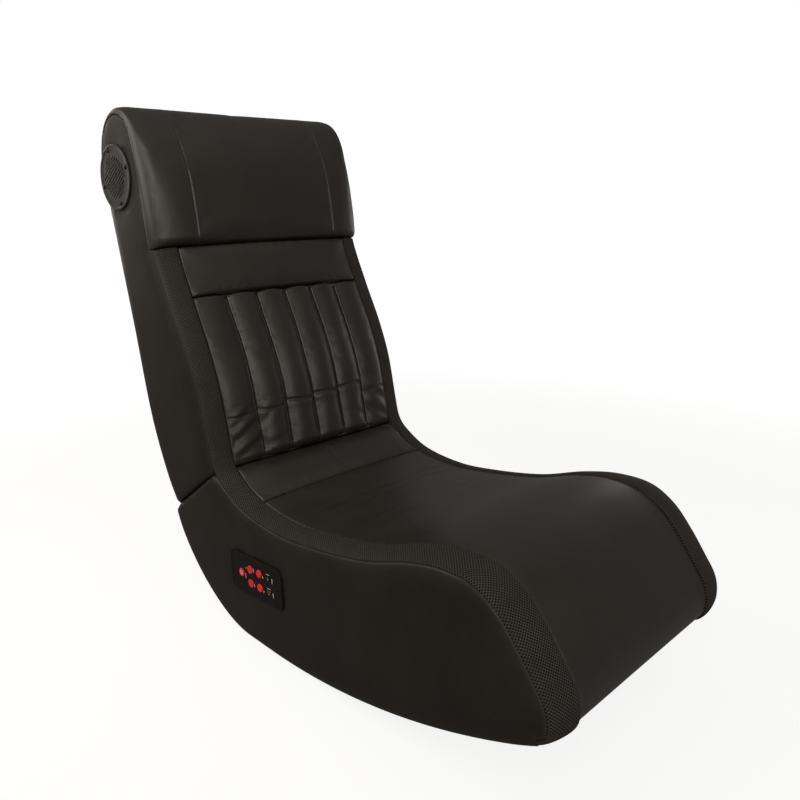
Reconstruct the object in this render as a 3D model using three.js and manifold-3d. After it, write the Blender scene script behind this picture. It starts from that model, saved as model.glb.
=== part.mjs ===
// A gaming rocker chair that sits on the floor: a seat on curved rocker sides, and a backrest
// with a headrest and two speakers, hinged to fold forward onto the seat.
// Millimetres, +Z up. The sitter faces -Y, and the sitter's right side is -X.
import * as THREE from 'three';
import { mergeVertices } from 'three/addons/utils/BufferGeometryUtils.js';
import Module from 'manifold-3d';

const wasm = await Module();
wasm.setup();

// Overall size of the side profile
const chairWidth = 430;
const chairLength = 938;
const chairHeight = 816;

// Clearances and cuts
const gap = 0.3; // between two pieces that meet
const cutOverrun = 40; // how far a cut or a trimmed end runs past what it trims
const mergeTolerance = 0.001;

// Boards and sheets
const coverDepth = 12; // padded side cover
const coverRounding = 5; // along the outer edges of a side cover
const boardThickness = 15; // side frames
const seatDeck = 9; // thickness of the deck under the seat's pads
const backDeck = 4;
const sheetThickness = 3; // bottom cover and rear cover
const railThickness = 18;
const railHeight = 48;
const topRailDrop = 4; // from the pillow's rounded inside down to the rail at the top of the back

// Pads
const padDepth = 25; // from the side profile down to the deck
const noseDepth = 8; // the same, where the cushion ends under the nose
const noseTaper = 150; // length of cushion over which it gets there
const bandSkin = 4; // mesh band where it lies over a side cover
const bandEdge = 6; // height of the mesh band at its inner edge
const bandRounding = 3;
const seamValley = 4; // how far a pad dips at its sewn edges
const seamRun = 5; // how far from the edge the dip reaches
const cushionEdge = 11; // height of a pad beside the mesh band
const seatRise = 5; // further height of each pad at its middle
const backRise = 11;
const headFront = 23; // height of the headrest's front over the profile
const headTop = 9;
const headCorner = 26; // width of the headrest's rounded side edges
const headRounding = 16; // along its lower edge
const flapDepth = 4; // where the headrest ends, down the rear
const channelDip = 9; // depth of the seams between the channels
const creaseDip = 3;
const backBand = 40; // width of the mesh band on the back and at the crook
const noseBand = 56; // width of the mesh band on the nose
const channelCount = 6;

// Rockers
const restFlat = 56; // length of the flat that the chair rests on
const restShare = 0.5755; // place of its middle along the chair
const rearRockerShares = [[0.436, 0], [0.913, 0.597]]; // bend of the rear rocker, from the floor up

// Fold
const pivotDepth = 10; // from the crook down the split to the hinge axis
const pivotRelief = 2.5; // radius kept free round the axis
const splitGap = 1; // half of the gap at the crook
const foldTravel = 95; // degrees
const foldSlack = 3.5; // degrees left between the pads when folded
const backEdgeAngle = 92; // degrees from +Y to the back's edge at the axis
const foldReach = 110; // how far from the axis the pads are cut back
const seatArmAngle = -115; // degrees from +Y to each hinge arm
const backArmAngle = 50;
const armThickness = 3;
const armLength = 92;
const armWidth = 22;
const armEyeLength = 24; // part of the back arm that lies inside the seat arm
const pinRadius = 4;
const pinHeadRadius = 7;
const pinHeadThickness = 2;
const armClearance = 1; // between the hinge arms and the pads

// Speakers
const speakerShareY = 0.9366;
const speakerShareZ = 0.8762;
const grilleRadius = 0.056 * chairLength; // the side of the head is as deep as the chair is long
const grilleThickness = 3;
const grilleField = 0.705 * grilleRadius; // radius of the pierced field
const grillePitch = 8.2;
const grilleHole = 2.9; // half diagonal of a hole
const driverFlange = 0.905 * grilleRadius;
const driverFlangeThickness = 2;
const basketRadius = 0.686 * grilleRadius;
const basketWall = 2;
const magnetRadius = 0.476 * grilleRadius;
const magnetThickness = 12;
const driverDepth = 38;
const coilRadius = 0.19 * grilleRadius;
const coilWall = 1;
const coilClearance = 0.8;
const coneThickness = 1.2;
const coneTravel = 1.5;
const screwCircle = 0.838 * grilleRadius;
const screwRadius = 1.8;
const screwHeadRadius = 3.4;
const screwHeadThickness = 1.6;
const screwLength = 20;
const screwFirstAngle = 70; // degrees

// Control panel
const panelShareY = 0.564;
const panelShareZ = 0.1495;
const panelTilt = -3.5; // degrees
const panelLength = 133;
const panelHeight = 65;
const panelCorner = 11;
const panelThickness = 3;
const housingLength = 112;
const housingHeight = 50;
const housingDepth = 40;
const housingWall = 2;
const buttonRadius = 6.5;
const buttonProud = 1.2;
const buttonTravel = 0.8;
const buttonFlange = 1.6; // width and thickness of the rim behind the plate
const stemRadius = 3;
const stemLength = 3;
const columnPitch = 23.7;
const rowPitch = 23;
const columnStart = 37; // from the panel's middle to the power button, towards the rear
const boardSheet = 1.6;
const postRadius = 3;
const socketBarrel = 4.5;
const socketBody = 6;
const socketProud = 0.4;
const socketDepth = 6;
const audioBore = 1.8;
const powerBore = 3.2;
const powerPin = 1;

// Leads
const leadRadius = 1.75;
const leadSides = 8;

// Outlines of the side profile: [share of the length from the nose, share of the height]
const seatShares = [
  [0.0192, 0.1397], [0.0030, 0.1600], [0.0005, 0.1800], [0.0060, 0.2080], [0.0256, 0.2414],
  [0.0512, 0.2806], [0.0800, 0.3160], [0.1180, 0.3400], [0.1716, 0.3425], [0.2271, 0.3290],
  [0.3124, 0.2953], [0.4222, 0.2708], [0.5150, 0.2610], [0.6151, 0.2757], [0.6866, 0.3186],
];
const backShares = [
  [0.6866, 0.3186], [0.7005, 0.3900], [0.7190, 0.4779], [0.7452, 0.5527], [0.7846, 0.6397],
  [0.8252, 0.7414], [0.8350, 0.8050], [0.8450, 0.8640], [0.8582, 0.9191], [0.8646, 0.9461],
  [0.8763, 0.9718], [0.8934, 0.9902], [0.9158, 0.9994], [0.9382, 0.9975], [0.9584, 0.9865],
  [0.9744, 0.9669], [0.9851, 0.9412], [0.9904, 0.9130], [0.9920, 0.8860],
];
const rearShares = [
  [0.9985, 0.8840], [0.9904, 0.8321], [0.9733, 0.7512], [0.9371, 0.5809], [0.8945, 0.3713],
  [0.8507, 0.2549], [0.8241, 0.2083],
];
const headSeamShare = 0.7414; // height of the seam under the headrest
const channelTopShare = 0.645; // height of the seam over the channels
const creaseShare = 0.423; // height of the crease across the channels
const rearPadShare = 0.6; // place of the seam in front of the rear pad
const seatSplitShares = [0.8316, 0.1949]; // rear end of the split, on the seat and on the back
const backSplitShares = [0.8241, 0.2083];
const headTopShare = 0.62; // share of the headrest's length where its rear flap begins
const deckEndShare = 0.3; // share of the headrest's length where the deck ends
const frontRailShare = 0.165; // places of the rails along the seat, the split and the back
const middleRailShare = 0.6;
const splitRailShare = 0.72;
const backRailShare = 0.5;
const topRailShare = 0.57;

// Places across a section, as shares of its width
const crownShares = [1, 0.75, 0.5, 0.25, 0, -0.25, -0.5, -0.75, -1];
const channelShares = [-1, -0.6, 0, 0.6];
// Rounded side edge of the headrest: [share of the corner's width from the side, share of height]
const headCornerShares = [[0, 0.3], [0.08, 0.52], [0.27, 0.72], [0.58, 0.86], [1, 0.94]];

// Steps along a curve: no longer than this, and no sharper than this
const longestStep = 56;
const sharpestTurn = 0.26; // radians
const finePoints = 400;
const arcPoints = 60;

const half = chairWidth / 2;
const coverInner = half - coverDepth;
const frameOuter = coverInner - gap;
const frameInner = frameOuter - boardThickness;
const radians = THREE.MathUtils.degToRad;

const materials = {
  leatherette: new THREE.MeshStandardMaterial({ color: 0x2b2826, roughness: 0.5, metalness: 0 }),
  mesh: new THREE.MeshStandardMaterial({ color: 0x1a1817, roughness: 0.9, metalness: 0 }),
  board: new THREE.MeshStandardMaterial({ color: 0xb08d5e, roughness: 0.8, metalness: 0 }),
  steel: new THREE.MeshStandardMaterial({ color: 0x8d9094, roughness: 0.35, metalness: 1 }),
  blackPlastic: new THREE.MeshStandardMaterial({ color: 0x1d1c1c, roughness: 0.4, metalness: 0 }),
  redPlastic: new THREE.MeshStandardMaterial({ color: 0xe3121c, roughness: 0.35, metalness: 0 }),
  circuit: new THREE.MeshStandardMaterial({ color: 0x1f5a36, roughness: 0.6, metalness: 0 }),
  cone: new THREE.MeshStandardMaterial({ color: 0x24221f, roughness: 0.85, metalness: 0 }),
  rubber: new THREE.MeshStandardMaterial({ color: 0x141414, roughness: 0.7, metalness: 0 }),
};

const chair = new THREE.Group();
const pieces = new THREE.Group(); // moved as one, so that the chair stands centred on its origin
chair.add(pieces);

function addMesh(name, geometry, material, parent = pieces) {
  const mesh = new THREE.Mesh(geometry, material);
  mesh.name = name;
  parent.add(mesh);
  return mesh;
}

// Closed geometry to solid and back, for the boolean cuts and joins

function solidOf(geometry) {
  const bare = new THREE.BufferGeometry();
  bare.setAttribute('position', geometry.getAttribute('position'));
  bare.setIndex(geometry.index);
  const merged = mergeVertices(bare, mergeTolerance);
  const corners = merged.index.array;
  const triVerts = [];
  for (let i = 0; i < corners.length; i += 3) {
    const [a, b, c] = corners.slice(i, i + 3);
    if (a !== b && b !== c && c !== a) triVerts.push(a, b, c);
  }
  return new wasm.Manifold(new wasm.Mesh({
    numProp: 3,
    vertProperties: new Float32Array(merged.getAttribute('position').array),
    triVerts: new Uint32Array(triVerts),
  }));
}

function geometryOf(solid) {
  const { vertProperties, triVerts } = solid.getMesh();
  const geometry = new THREE.BufferGeometry();
  geometry.setAttribute('position', new THREE.BufferAttribute(vertProperties, 3));
  geometry.setIndex(new THREE.BufferAttribute(triVerts, 1));
  return geometry;
}

function cut(geometry, cutters) {
  const result = cutters.reduce((solid, cutter) => solid.subtract(solidOf(cutter)), solidOf(geometry));
  return geometryOf(result);
}

function join(first, second) {
  return geometryOf(solidOf(first).add(solidOf(second)));
}

// Paths in the side plane: a Vector2 holds y and z

function profilePoint([along, up]) {
  return new THREE.Vector2((along - 0.5) * chairLength, up * chairHeight);
}

function direction(degrees) {
  return new THREE.Vector2(Math.cos(radians(degrees)), Math.sin(radians(degrees)));
}

function beyond(point, towards, distance) {
  return point.clone().addScaledVector(towards, distance);
}

// Keeps few points of a fine path, closer together where it bends.
function thin(points) {
  const kept = [points[0]];
  let used = 0;
  for (let i = 1; i < points.length - 1; i++) {
    const before = points[i].clone().sub(points[i - 1]);
    const after = points[i + 1].clone().sub(points[i]);
    used += before.length() / longestStep + before.angleTo(after) / sharpestTurn;
    if (used >= 1) {
      kept.push(points[i]);
      used = 0;
    }
  }
  kept.push(points.at(-1));
  return kept;
}

function smoothPath(shares) {
  const knots = shares.map(profilePoint).map(({ x, y }) => new THREE.Vector3(x, y, 0));
  const curve = new THREE.CatmullRomCurve3(knots, false, 'centripetal');
  return thin(curve.getSpacedPoints(finePoints).map(({ x, y }) => new THREE.Vector2(x, y)));
}

// A rail is a path with the distance along it and a normal at each point. The normals are
// stretched at the bends, so paths offset by two depths stay parallel.
function railOf(points) {
  const runs = points.slice(1).map((point, i) => point.clone().sub(points[i]).normalize());
  let along = 0;
  return points.map((at, i) => {
    const before = runs[Math.max(i - 1, 0)];
    const after = runs[Math.min(i, runs.length - 1)];
    const middle = before.clone().add(after).normalize();
    const normal = new THREE.Vector2(-middle.y, middle.x).divideScalar(middle.dot(after));
    if (i > 0) along += at.distanceTo(points[i - 1]);
    return { at, normal, along };
  });
}

const blended = ['along', 'depth', 'deck', 'band', 'rise', 'edge'];

function stationAt(rail, along) {
  const next = Math.max(1, rail.findIndex((station) => station.along >= along));
  const [a, b] = [rail[next - 1], rail[next]];
  const share = (along - a.along) / (b.along - a.along);
  const station = { at: a.at.clone().lerp(b.at, share), normal: a.normal.clone().lerp(b.normal, share) };
  for (const key of blended) station[key] = THREE.MathUtils.lerp(a[key], b[key], share);
  return station;
}

function slice(rail, from, to, extra = []) {
  const ends = [from, to, ...extra].map((along) => stationAt(rail, along));
  const near = (station) => ends.some((end) => Math.abs(end.along - station.along) < seamRun / 4);
  const inside = rail.filter((station) => station.along > from && station.along < to && !near(station));
  return [...ends, ...inside].sort((a, b) => a.along - b.along);
}

function alongAtHeight(rail, height) {
  const next = rail.findIndex((station, i) => i > 0 && station.at.y >= height && rail[i - 1].at.y < height);
  const [a, b] = [rail[next - 1], rail[next]];
  return THREE.MathUtils.mapLinear(height, a.at.y, b.at.y, a.along, b.along);
}

function alongAtPlace(rail, place) {
  const last = rail.findLastIndex((station) => station.at.x < place);
  const [a, b] = [rail[last], rail[last + 1]];
  return THREE.MathUtils.mapLinear(place, a.at.x, b.at.x, a.along, b.along);
}

function offsetPath(stations, depthOf) {
  return stations.map((station) => beyond(station.at, station.normal, -depthOf(station)));
}

// Solids

// A flat outline in the side plane, pushed out along X.
function slab(points, from, to, rounding = 0) {
  const shape = new THREE.Shape(points);
  const geometry = new THREE.ExtrudeGeometry(shape, {
    depth: to - from - 2 * rounding,
    bevelEnabled: rounding > 0,
    bevelThickness: rounding,
    bevelSize: rounding,
    bevelOffset: -rounding,
    bevelSegments: 1,
  });
  const turn = new THREE.Matrix4().makeBasis(
    new THREE.Vector3(0, 1, 0), new THREE.Vector3(0, 0, 1), new THREE.Vector3(1, 0, 0));
  return geometry.applyMatrix4(turn).translate(from + rounding, 0, 0);
}

// The same on one side of the chair: side is 1 for +X and -1 for -X.
function sideSlab(points, side, inner, outer, rounding = 0) {
  return side > 0 ? slab(points, inner, outer, rounding) : slab(points, -outer, -inner, rounding);
}

// A strip between two depths under a rail, pushed out along X.
function strip(stations, top, bottom, from, to) {
  const upper = offsetPath(stations, top);
  const lower = offsetPath(stations, bottom).reverse();
  return slab([...upper, ...lower], from, to);
}

// A closed section [x, height over the rail], carried along the rail.
function sweep(stations, sectionAt, side = 1) {
  const sections = stations.map(sectionAt).map((section) =>
    side > 0 ? section : section.map(([x, h]) => [-x, h]).reverse());
  const count = sections[0].length;
  const positions = sections.flatMap((section, i) => section.flatMap(([x, h]) => {
    const { x: y, y: z } = beyond(stations[i].at, stations[i].normal, h);
    return [x, y, z];
  }));
  const corners = [];
  for (let i = 0; i < stations.length - 1; i++) {
    for (let j = 0; j < count; j++) {
      const [a, b] = [i * count + j, i * count + ((j + 1) % count)];
      corners.push(a, a + count, b + count, a, b + count, b);
    }
  }
  const cap = (i) => THREE.ShapeUtils.triangulateShape(
    sections[i].map(([x, h]) => new THREE.Vector2(x, h)), []);
  const last = stations.length - 1;
  for (const [a, b, c] of cap(0)) corners.push(a, b, c);
  for (const [a, b, c] of cap(last)) corners.push(last * count + c, last * count + b, last * count + a);
  const geometry = new THREE.BufferGeometry();
  geometry.setAttribute('position', new THREE.Float32BufferAttribute(positions, 3));
  geometry.setIndex(corners);
  return geometry;
}

// A turned piece: its profile is [radius, distance outwards] and its axis runs along X.
function turned(profile, side, segments) {
  const points = profile.map(([radius, out]) => new THREE.Vector2(radius, out));
  return geometryOf(solidOf(new THREE.LatheGeometry(points, segments).rotateZ(-side * Math.PI / 2)));
}

function rod(side, radius, from, to, segments, y = 0, z = 0) {
  return turned([[0, from], [radius, from], [radius, to], [0, to]], side, segments).translate(0, y, z);
}

function box(x, y, z) {
  return new THREE.BoxGeometry(x, y, z);
}

// The side profile as rails: seat from under the nose to the crook, back from the crook over
// the head, rear from the head down to the split, bottom from the split to the nose.
// The seat and back rails run on past the crook, where the split trims them.

const seatPath = smoothPath(seatShares);
const crook = seatPath.at(-1);
const crookRun = crook.clone().sub(seatPath.at(-2)).normalize();
const seatRail = railOf([...seatPath, beyond(crook, crookRun, cutOverrun)]);
const seatEnd = seatRail.at(-2).along;

const backPath = smoothPath(backShares);
const backRun = backPath[1].clone().sub(backPath[0]).normalize();
const backRail = railOf([beyond(backPath[0], backRun, -cutOverrun), ...backPath]);
const headSeam = alongAtHeight(backRail, headSeamShare * chairHeight);
const channelTop = alongAtHeight(backRail, channelTopShare * chairHeight);
const crease = alongAtHeight(backRail, creaseShare * chairHeight);
const headEnd = backRail.at(-1).along;
const headLength = headEnd - headSeam;

const smooth = THREE.MathUtils.smoothstep;
const lerp = THREE.MathUtils.lerp;

for (const station of seatRail) {
  const past = smooth(station.along, 0, noseTaper);
  station.depth = lerp(noseDepth, padDepth, past);
  station.deck = seatDeck;
  station.band = lerp(noseBand, backBand, smooth(station.along, noseTaper, seatEnd * 0.6));
  station.edge = cushionEdge;
  station.rise = lerp(0, seatRise, past);
}
for (const station of backRail) {
  const share = (station.along - headSeam) / headLength;
  const flap = smooth(share, headTopShare, 1);
  station.depth = lerp(padDepth, flapDepth, flap);
  station.deck = backDeck;
  station.band = backBand;
  station.edge = cushionEdge;
  station.rise = share < 0 ? backRise : lerp(lerp(headFront, headTop, smooth(share, 0.3, 0.55)), 0, flap);
}

const rearPath = smoothPath(rearShares);
const seatSplit = profilePoint(seatSplitShares);
const restMiddle = (restShare - 0.5) * chairLength;
const noseEnd = seatPath[0];

function rockerPath() {
  const rearStart = new THREE.Vector2(restMiddle + restFlat / 2, 0);
  const [low, high] = rearRockerShares.map(([along, up]) =>
    new THREE.Vector2(lerp(rearStart.x, seatSplit.x, along), up * seatSplit.y));
  const rear = new THREE.CubicBezierCurve(seatSplit, high, low, rearStart);
  const frontReach = restMiddle - restFlat / 2 - noseEnd.x;
  const frontRadius = (frontReach ** 2 + noseEnd.y ** 2) / (2 * noseEnd.y);
  const frontEnd = -Math.PI / 2 - Math.asin(frontReach / frontRadius);
  const front = new THREE.EllipseCurve(
    restMiddle - restFlat / 2, frontRadius, frontRadius, frontRadius, -Math.PI / 2, frontEnd, true);
  return [...thin(rear.getSpacedPoints(arcPoints)), ...thin(front.getSpacedPoints(arcPoints))];
}
const bottomPath = rockerPath();

// Cuts at the fold

const splitRun = seatSplit.clone().sub(crook).normalize();
const pivot = beyond(crook, splitRun, pivotDepth);
const backSplitRun = profilePoint(backSplitShares).sub(crook).normalize();

// All that lies on the other half's side of the split, from a depth inside this half.
function splitCut(run, outward, depth) {
  const start = beyond(beyond(crook, run, -cutOverrun * 2), outward, splitGap - gap - depth);
  const end = beyond(beyond(crook, run, chairLength), outward, splitGap - gap - depth);
  const corners = [start, end, beyond(end, outward, chairHeight), beyond(start, outward, chairHeight)];
  return slab(corners, -half - gap, half + gap);
}

function seatSplitCut(depth = 0) {
  const outward = new THREE.Vector2(-splitRun.y, splitRun.x);
  return splitCut(splitRun, outward, depth + splitGap);
}

function backSplitCut(depth = 0) {
  const outward = new THREE.Vector2(backSplitRun.y, -backSplitRun.x);
  return splitCut(backSplitRun, outward, depth + splitGap);
}

function foldCuts() {
  const backEdge = beyond(pivot, direction(backEdgeAngle), foldReach);
  const seatEdge = beyond(pivot, direction(backEdgeAngle + foldTravel + foldSlack), foldReach);
  const wedge = slab([pivot, backEdge, seatEdge], -half - gap, half + gap);
  return [wedge, rod(1, pivotRelief, -half - gap, half + gap, 12, pivot.x, pivot.y)];
}

// A bar with round ends that starts at the hinge axis.
function armOutline(angle, from, to, radius) {
  const shape = new THREE.Shape();
  const [start, end] = [from, to].map((distance) => beyond(pivot, direction(angle), distance));
  const turn = radians(angle);
  shape.absarc(end.x, end.y, radius, turn - Math.PI / 2, turn + Math.PI / 2, false);
  shape.absarc(start.x, start.y, radius, turn + Math.PI / 2, turn + Math.PI * 1.5, false);
  return shape.getPoints(4);
}

const armReach = armLength - armWidth;
const leadLane = 6 * leadRadius; // room beside the arms for the lead

function hingeCuts(side) {
  const inner = frameInner - 2 * (armThickness + gap) - pinHeadThickness - 2 * leadLane;
  const radius = armWidth / 2 + armClearance;
  const slots = [seatArmAngle, backArmAngle, backArmAngle + foldTravel].map((angle) =>
    sideSlab(armOutline(angle, 0, armReach, radius), side, inner, frameInner));
  const headEnd = frameInner + pinHeadThickness + armClearance;
  const pocket = rod(side, pinHeadRadius + armClearance, inner, headEnd, 16, pivot.x, pivot.y);
  return [...slots, pocket];
}

const allHingeCuts = [...hingeCuts(1), ...hingeCuts(-1)];

// Sections of the pads

function bandInner(station) {
  return half - station.band;
}

function bandSection(station) {
  const inner = bandInner(station);
  return [
    [inner, -station.depth], [frameOuter, -station.depth], [frameOuter, -bandSkin],
    [half, -bandSkin], [half, -bandRounding / 2], [half - bandRounding, bandRounding / 4],
    [(inner + half) / 2, bandEdge * 0.7], [inner + bandRounding, bandEdge],
    [inner, bandEdge - bandRounding],
  ];
}

// Height of a crowned pad: share is 0 in its middle and 1 at its edge.
function crown(station, share) {
  return station.edge + station.rise * (1 - Math.abs(share) ** 2.5);
}

function padSection(station) {
  const reach = bandInner(station) - gap;
  const tuck = station.tucked ? seamValley : 0;
  const top = crownShares.map((share) =>
    [share * (reach - seamRun), crown(station, share) - tuck]);
  return [
    [-reach, -station.depth], [reach, -station.depth],
    [reach, station.edge - seamValley - tuck], ...top, [-reach, station.edge - seamValley - tuck],
  ];
}

function channelSection(station) {
  const reach = bandInner(station) - gap;
  const inner = reach - seamRun;
  const tuck = (station.tucked ? seamValley : 0) + (station.creased ? creaseDip : 0);
  const top = [];
  for (let channel = 0; channel < channelCount; channel++) {
    for (const share of channelShares) {
      const place = (2 * channel + 1 + share) / channelCount - 1;
      const dip = channelDip * Math.abs(share) ** 2;
      top.push([-place * inner, crown(station, place) - dip - tuck]);
    }
  }
  top.push([-inner, station.edge - channelDip - tuck]);
  return [[-reach, -station.depth], [reach, -station.depth], [reach, -tuck], ...top, [-reach, -tuck]];
}

// Quarter round: 0 at the edge and 1 from one radius on.
function rounded(distance, radius) {
  return Math.sqrt(1 - (1 - Math.min(Math.max(distance / radius, 0), 1)) ** 2);
}

function headSection(station) {
  const thickness = station.depth + station.rise * rounded(station.along - headSeam, headRounding);
  const right = headCornerShares.map(([across, up]) =>
    [half - across * headCorner, up * thickness - station.depth]);
  const middle = [0.6, 0.3, 0].map((share) =>
    [share * half, (1 - 0.06 * share ** 2) * thickness - station.depth]);
  const top = [...right, ...middle];
  const left = top.slice(0, -1).map(([x, h]) => [-x, h]).reverse();
  return [[-half, -station.depth], [half, -station.depth], ...top, ...left];
}

// Marks the two ends of a pad as drawn in, with a station just inside each of them.
function padStations(rail, from, to, extra = []) {
  const stations = slice(rail, from, to, [from + seamRun, to - seamRun, ...extra]);
  stations[0].tucked = true;
  stations.at(-1).tucked = true;
  return stations;
}

// Seat

const rearPadSeam = alongAtPlace(seatRail, (rearPadShare - 0.5) * chairLength);
const deckTop = (station) => station.depth + gap;
const deckBottom = (station) => station.depth + gap + station.deck;
const frameTop = (station) => deckBottom(station) + gap;
const frameNoseStart = noseTaper * 0.2;
const seatTrims = [seatSplitCut(), ...foldCuts()];
const backTrims = [backSplitCut(), ...foldCuts()];
const closingStart = 1.25 * (padDepth + seatDeck + 3 * gap); // along the split, from the crook
const seatShell = railOf([beyond(crook, splitRun, closingStart), ...bottomPath]);
const noseClear = 2 * noseDepth; // between the end of the bottom cover and the nose

function nodeSide(side) {
  return side > 0 ? 'left' : 'right';
}

function seatPads() {
  const end = seatRail.at(-1).along;
  const cushion = sweep(padStations(seatRail, 0, rearPadSeam - gap / 2), padSection);
  addMesh('seat_cushion', cushion, materials.leatherette);
  const rear = sweep(padStations(seatRail, rearPadSeam + gap / 2, end), padSection);
  addMesh('seat_rear_pad', cut(rear, [...seatTrims, ...allHingeCuts]), materials.leatherette);
  for (const side of [1, -1]) {
    const band = sweep(slice(seatRail, 0, end), bandSection, side);
    const trimmed = cut(band, [...seatTrims, ...hingeCuts(side)]);
    addMesh(`seat_mesh_band_${nodeSide(side)}`, trimmed, materials.mesh);
  }
}

function seatBoards() {
  const stations = slice(seatRail, frameNoseStart, seatRail.at(-1).along);
  const deck = strip(stations, deckTop, deckBottom, -frameOuter, frameOuter);
  addMesh('seat_deck', cut(deck, [...seatTrims, ...allHingeCuts]), materials.board);
  const shell = slice(seatShell, 0, seatShell.at(-1).along - noseClear);
  const lower = offsetPath(shell, () => sheetThickness + gap);
  const outline = [...offsetPath(stations, frameTop), ...lower];
  const trims = [seatSplitCut(sheetThickness + gap), ...foldCuts()];
  for (const side of [1, -1]) {
    const frame = sideSlab(outline, side, frameInner, frameOuter);
    const cuts = side < 0 ? [...trims, panelOpening()] : trims;
    addMesh(`seat_side_frame_${nodeSide(side)}`, cut(frame, cuts), materials.board);
  }
  const cover = strip(shell, () => 0, () => sheetThickness, -frameOuter, frameOuter);
  addMesh('seat_bottom_cover', cut(cover, [seatSplitCut()]), materials.leatherette);
}

function seatCovers() {
  const end = seatRail.at(-1).along;
  const upper = offsetPath(slice(seatRail, 0, end), () => bandSkin + gap);
  const bottomRail = railOf(bottomPath);
  const lower = slice(bottomRail, 0, bottomRail.at(-1).along - noseClear / 2);
  const outline = [...upper, ...lower.map((station) => station.at)];
  for (const side of [1, -1]) {
    const cover = sideSlab(outline, side, coverInner, half, coverRounding);
    const cuts = side < 0 ? [...seatTrims, panelOpening()] : seatTrims;
    addMesh(`seat_side_cover_${nodeSide(side)}`, cut(cover, cuts), materials.leatherette);
  }
}

// A cross rail under the deck, or under a pad, at one place along a rail.
function addRail(name, rail, along, top = frameTop, [across, deep] = [railThickness, railHeight]) {
  const next = rail.findIndex((station) => station.along > along);
  const [from, to] = offsetPath([rail[next - 1], rail[next]], top);
  const run = to.clone().sub(from).normalize();
  const centre = beyond(from.lerp(to, 0.5), new THREE.Vector2(run.y, -run.x), deep / 2);
  const mesh = addMesh(name, box(2 * (frameInner - gap), across, deep), materials.board);
  mesh.position.set(0, centre.x, centre.y);
  mesh.rotation.x = Math.atan2(run.y, run.x);
}

// A cross rail that stands behind the closed face of the split.
function addSplitRail(name, run, outward, distance) {
  const inset = sheetThickness + 2 * gap + railThickness / 2 + splitGap;
  const centre = beyond(beyond(crook, run, distance), outward, -inset);
  const mesh = addMesh(name, box(2 * (frameInner - gap), railThickness, railHeight), materials.board);
  mesh.position.set(0, centre.x, centre.y);
  mesh.rotation.x = Math.atan2(-run.x, run.y);
}

function seatRails() {
  addRail('seat_front_rail', seatRail, frontRailShare * seatEnd);
  addRail('seat_middle_rail', seatRail, middleRailShare * seatEnd);
  const outward = new THREE.Vector2(-splitRun.y, splitRun.x);
  addSplitRail('seat_rear_rail', splitRun, outward, splitRailShare * crook.distanceTo(seatSplit));
}

// Backrest

const rearEnd = rearPath.at(-1);
const backShell = railOf([...rearPath, beyond(crook, backSplitRun, closingStart)]);

function backPads() {
  const creaseStations = [crease - seamRun, crease, crease + seamRun];
  const channels = padStations(backRail, 0, channelTop - gap / 2, creaseStations);
  for (const station of channels) station.creased = Math.abs(station.along - crease) < seamRun / 2;
  const channelPad = cut(sweep(channels, channelSection), [...backTrims, ...allHingeCuts]);
  addMesh('back_channel_pad', channelPad, materials.leatherette);
  const upper = sweep(padStations(backRail, channelTop + gap / 2, headSeam - gap / 2), padSection);
  addMesh('back_upper_pad', upper, materials.leatherette);
  const headStart = headSeam + gap / 2;
  const roundStations = [0.15, 0.45, 1].map((share) => headStart + share * headRounding);
  const head = sweep(slice(backRail, headStart, headEnd, roundStations), headSection);
  addMesh('headrest_pad', head, materials.leatherette);
  for (const side of [1, -1]) {
    const band = sweep(slice(backRail, 0, headSeam - gap / 2), bandSection, side);
    const trimmed = cut(band, [...backTrims, ...hingeCuts(side)]);
    addMesh(`back_mesh_band_${nodeSide(side)}`, trimmed, materials.mesh);
  }
}

function backBoards() {
  const deckEnd = headSeam + deckEndShare * headLength;
  const stations = slice(backRail, 0, deckEnd);
  const deck = strip(stations, deckTop, deckBottom, -frameOuter, frameOuter);
  addMesh('back_deck', cut(deck, [...backTrims, ...allHingeCuts]), materials.board);
  const outline = [
    ...offsetPath(stations, frameTop),
    ...offsetPath(slice(backRail, deckEnd + gap, headEnd), deckTop),
    ...offsetPath(backShell, () => sheetThickness + gap),
  ];
  for (const side of [1, -1]) {
    const frame = sideSlab(outline, side, frameInner, frameOuter);
    const cuts = [backSplitCut(sheetThickness + gap), ...foldCuts(), ...speakerHoles(side)];
    addMesh(`back_side_frame_${nodeSide(side)}`, cut(frame, cuts), materials.board);
  }
  const cover = strip(backShell, () => 0, () => sheetThickness, -frameOuter, frameOuter);
  addMesh('rear_cover', cut(cover, [backSplitCut()]), materials.leatherette);
}

function backCovers() {
  const band = slice(backRail, 0, headSeam - gap);
  const head = slice(backRail, headSeam - gap, headEnd);
  const outline = [
    ...offsetPath(band, () => bandSkin + gap),
    ...offsetPath(head, (station) => station.depth + 2 * gap),
    ...rearPath,
  ];
  for (const side of [1, -1]) {
    const cover = sideSlab(outline, side, coverInner, half, coverRounding);
    const cuts = [...backTrims, rod(side, driverFlange + gap * 2, coverInner - gap, half + gap, 24,
      speaker.x, speaker.y)];
    addMesh(`back_side_cover_${nodeSide(side)}`, cut(cover, cuts), materials.leatherette);
  }
}

function backRails() {
  addRail('back_middle_rail', backRail, backRailShare * headSeam + cutOverrun * 0.5);
  const topRail = headSeam + topRailShare * headLength;
  const underPad = (station) => deckTop(station) + topRailDrop;
  addRail('back_top_rail', backRail, topRail, underPad, [railHeight / 2, railThickness]);
  const outward = new THREE.Vector2(backSplitRun.y, -backSplitRun.x);
  addSplitRail('back_bottom_rail', backSplitRun, outward, splitRailShare * crook.distanceTo(rearEnd));
}

// Fold hinges: the seat arm lies on the frame, the back arm's eye lies inside the seat arm's.

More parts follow.
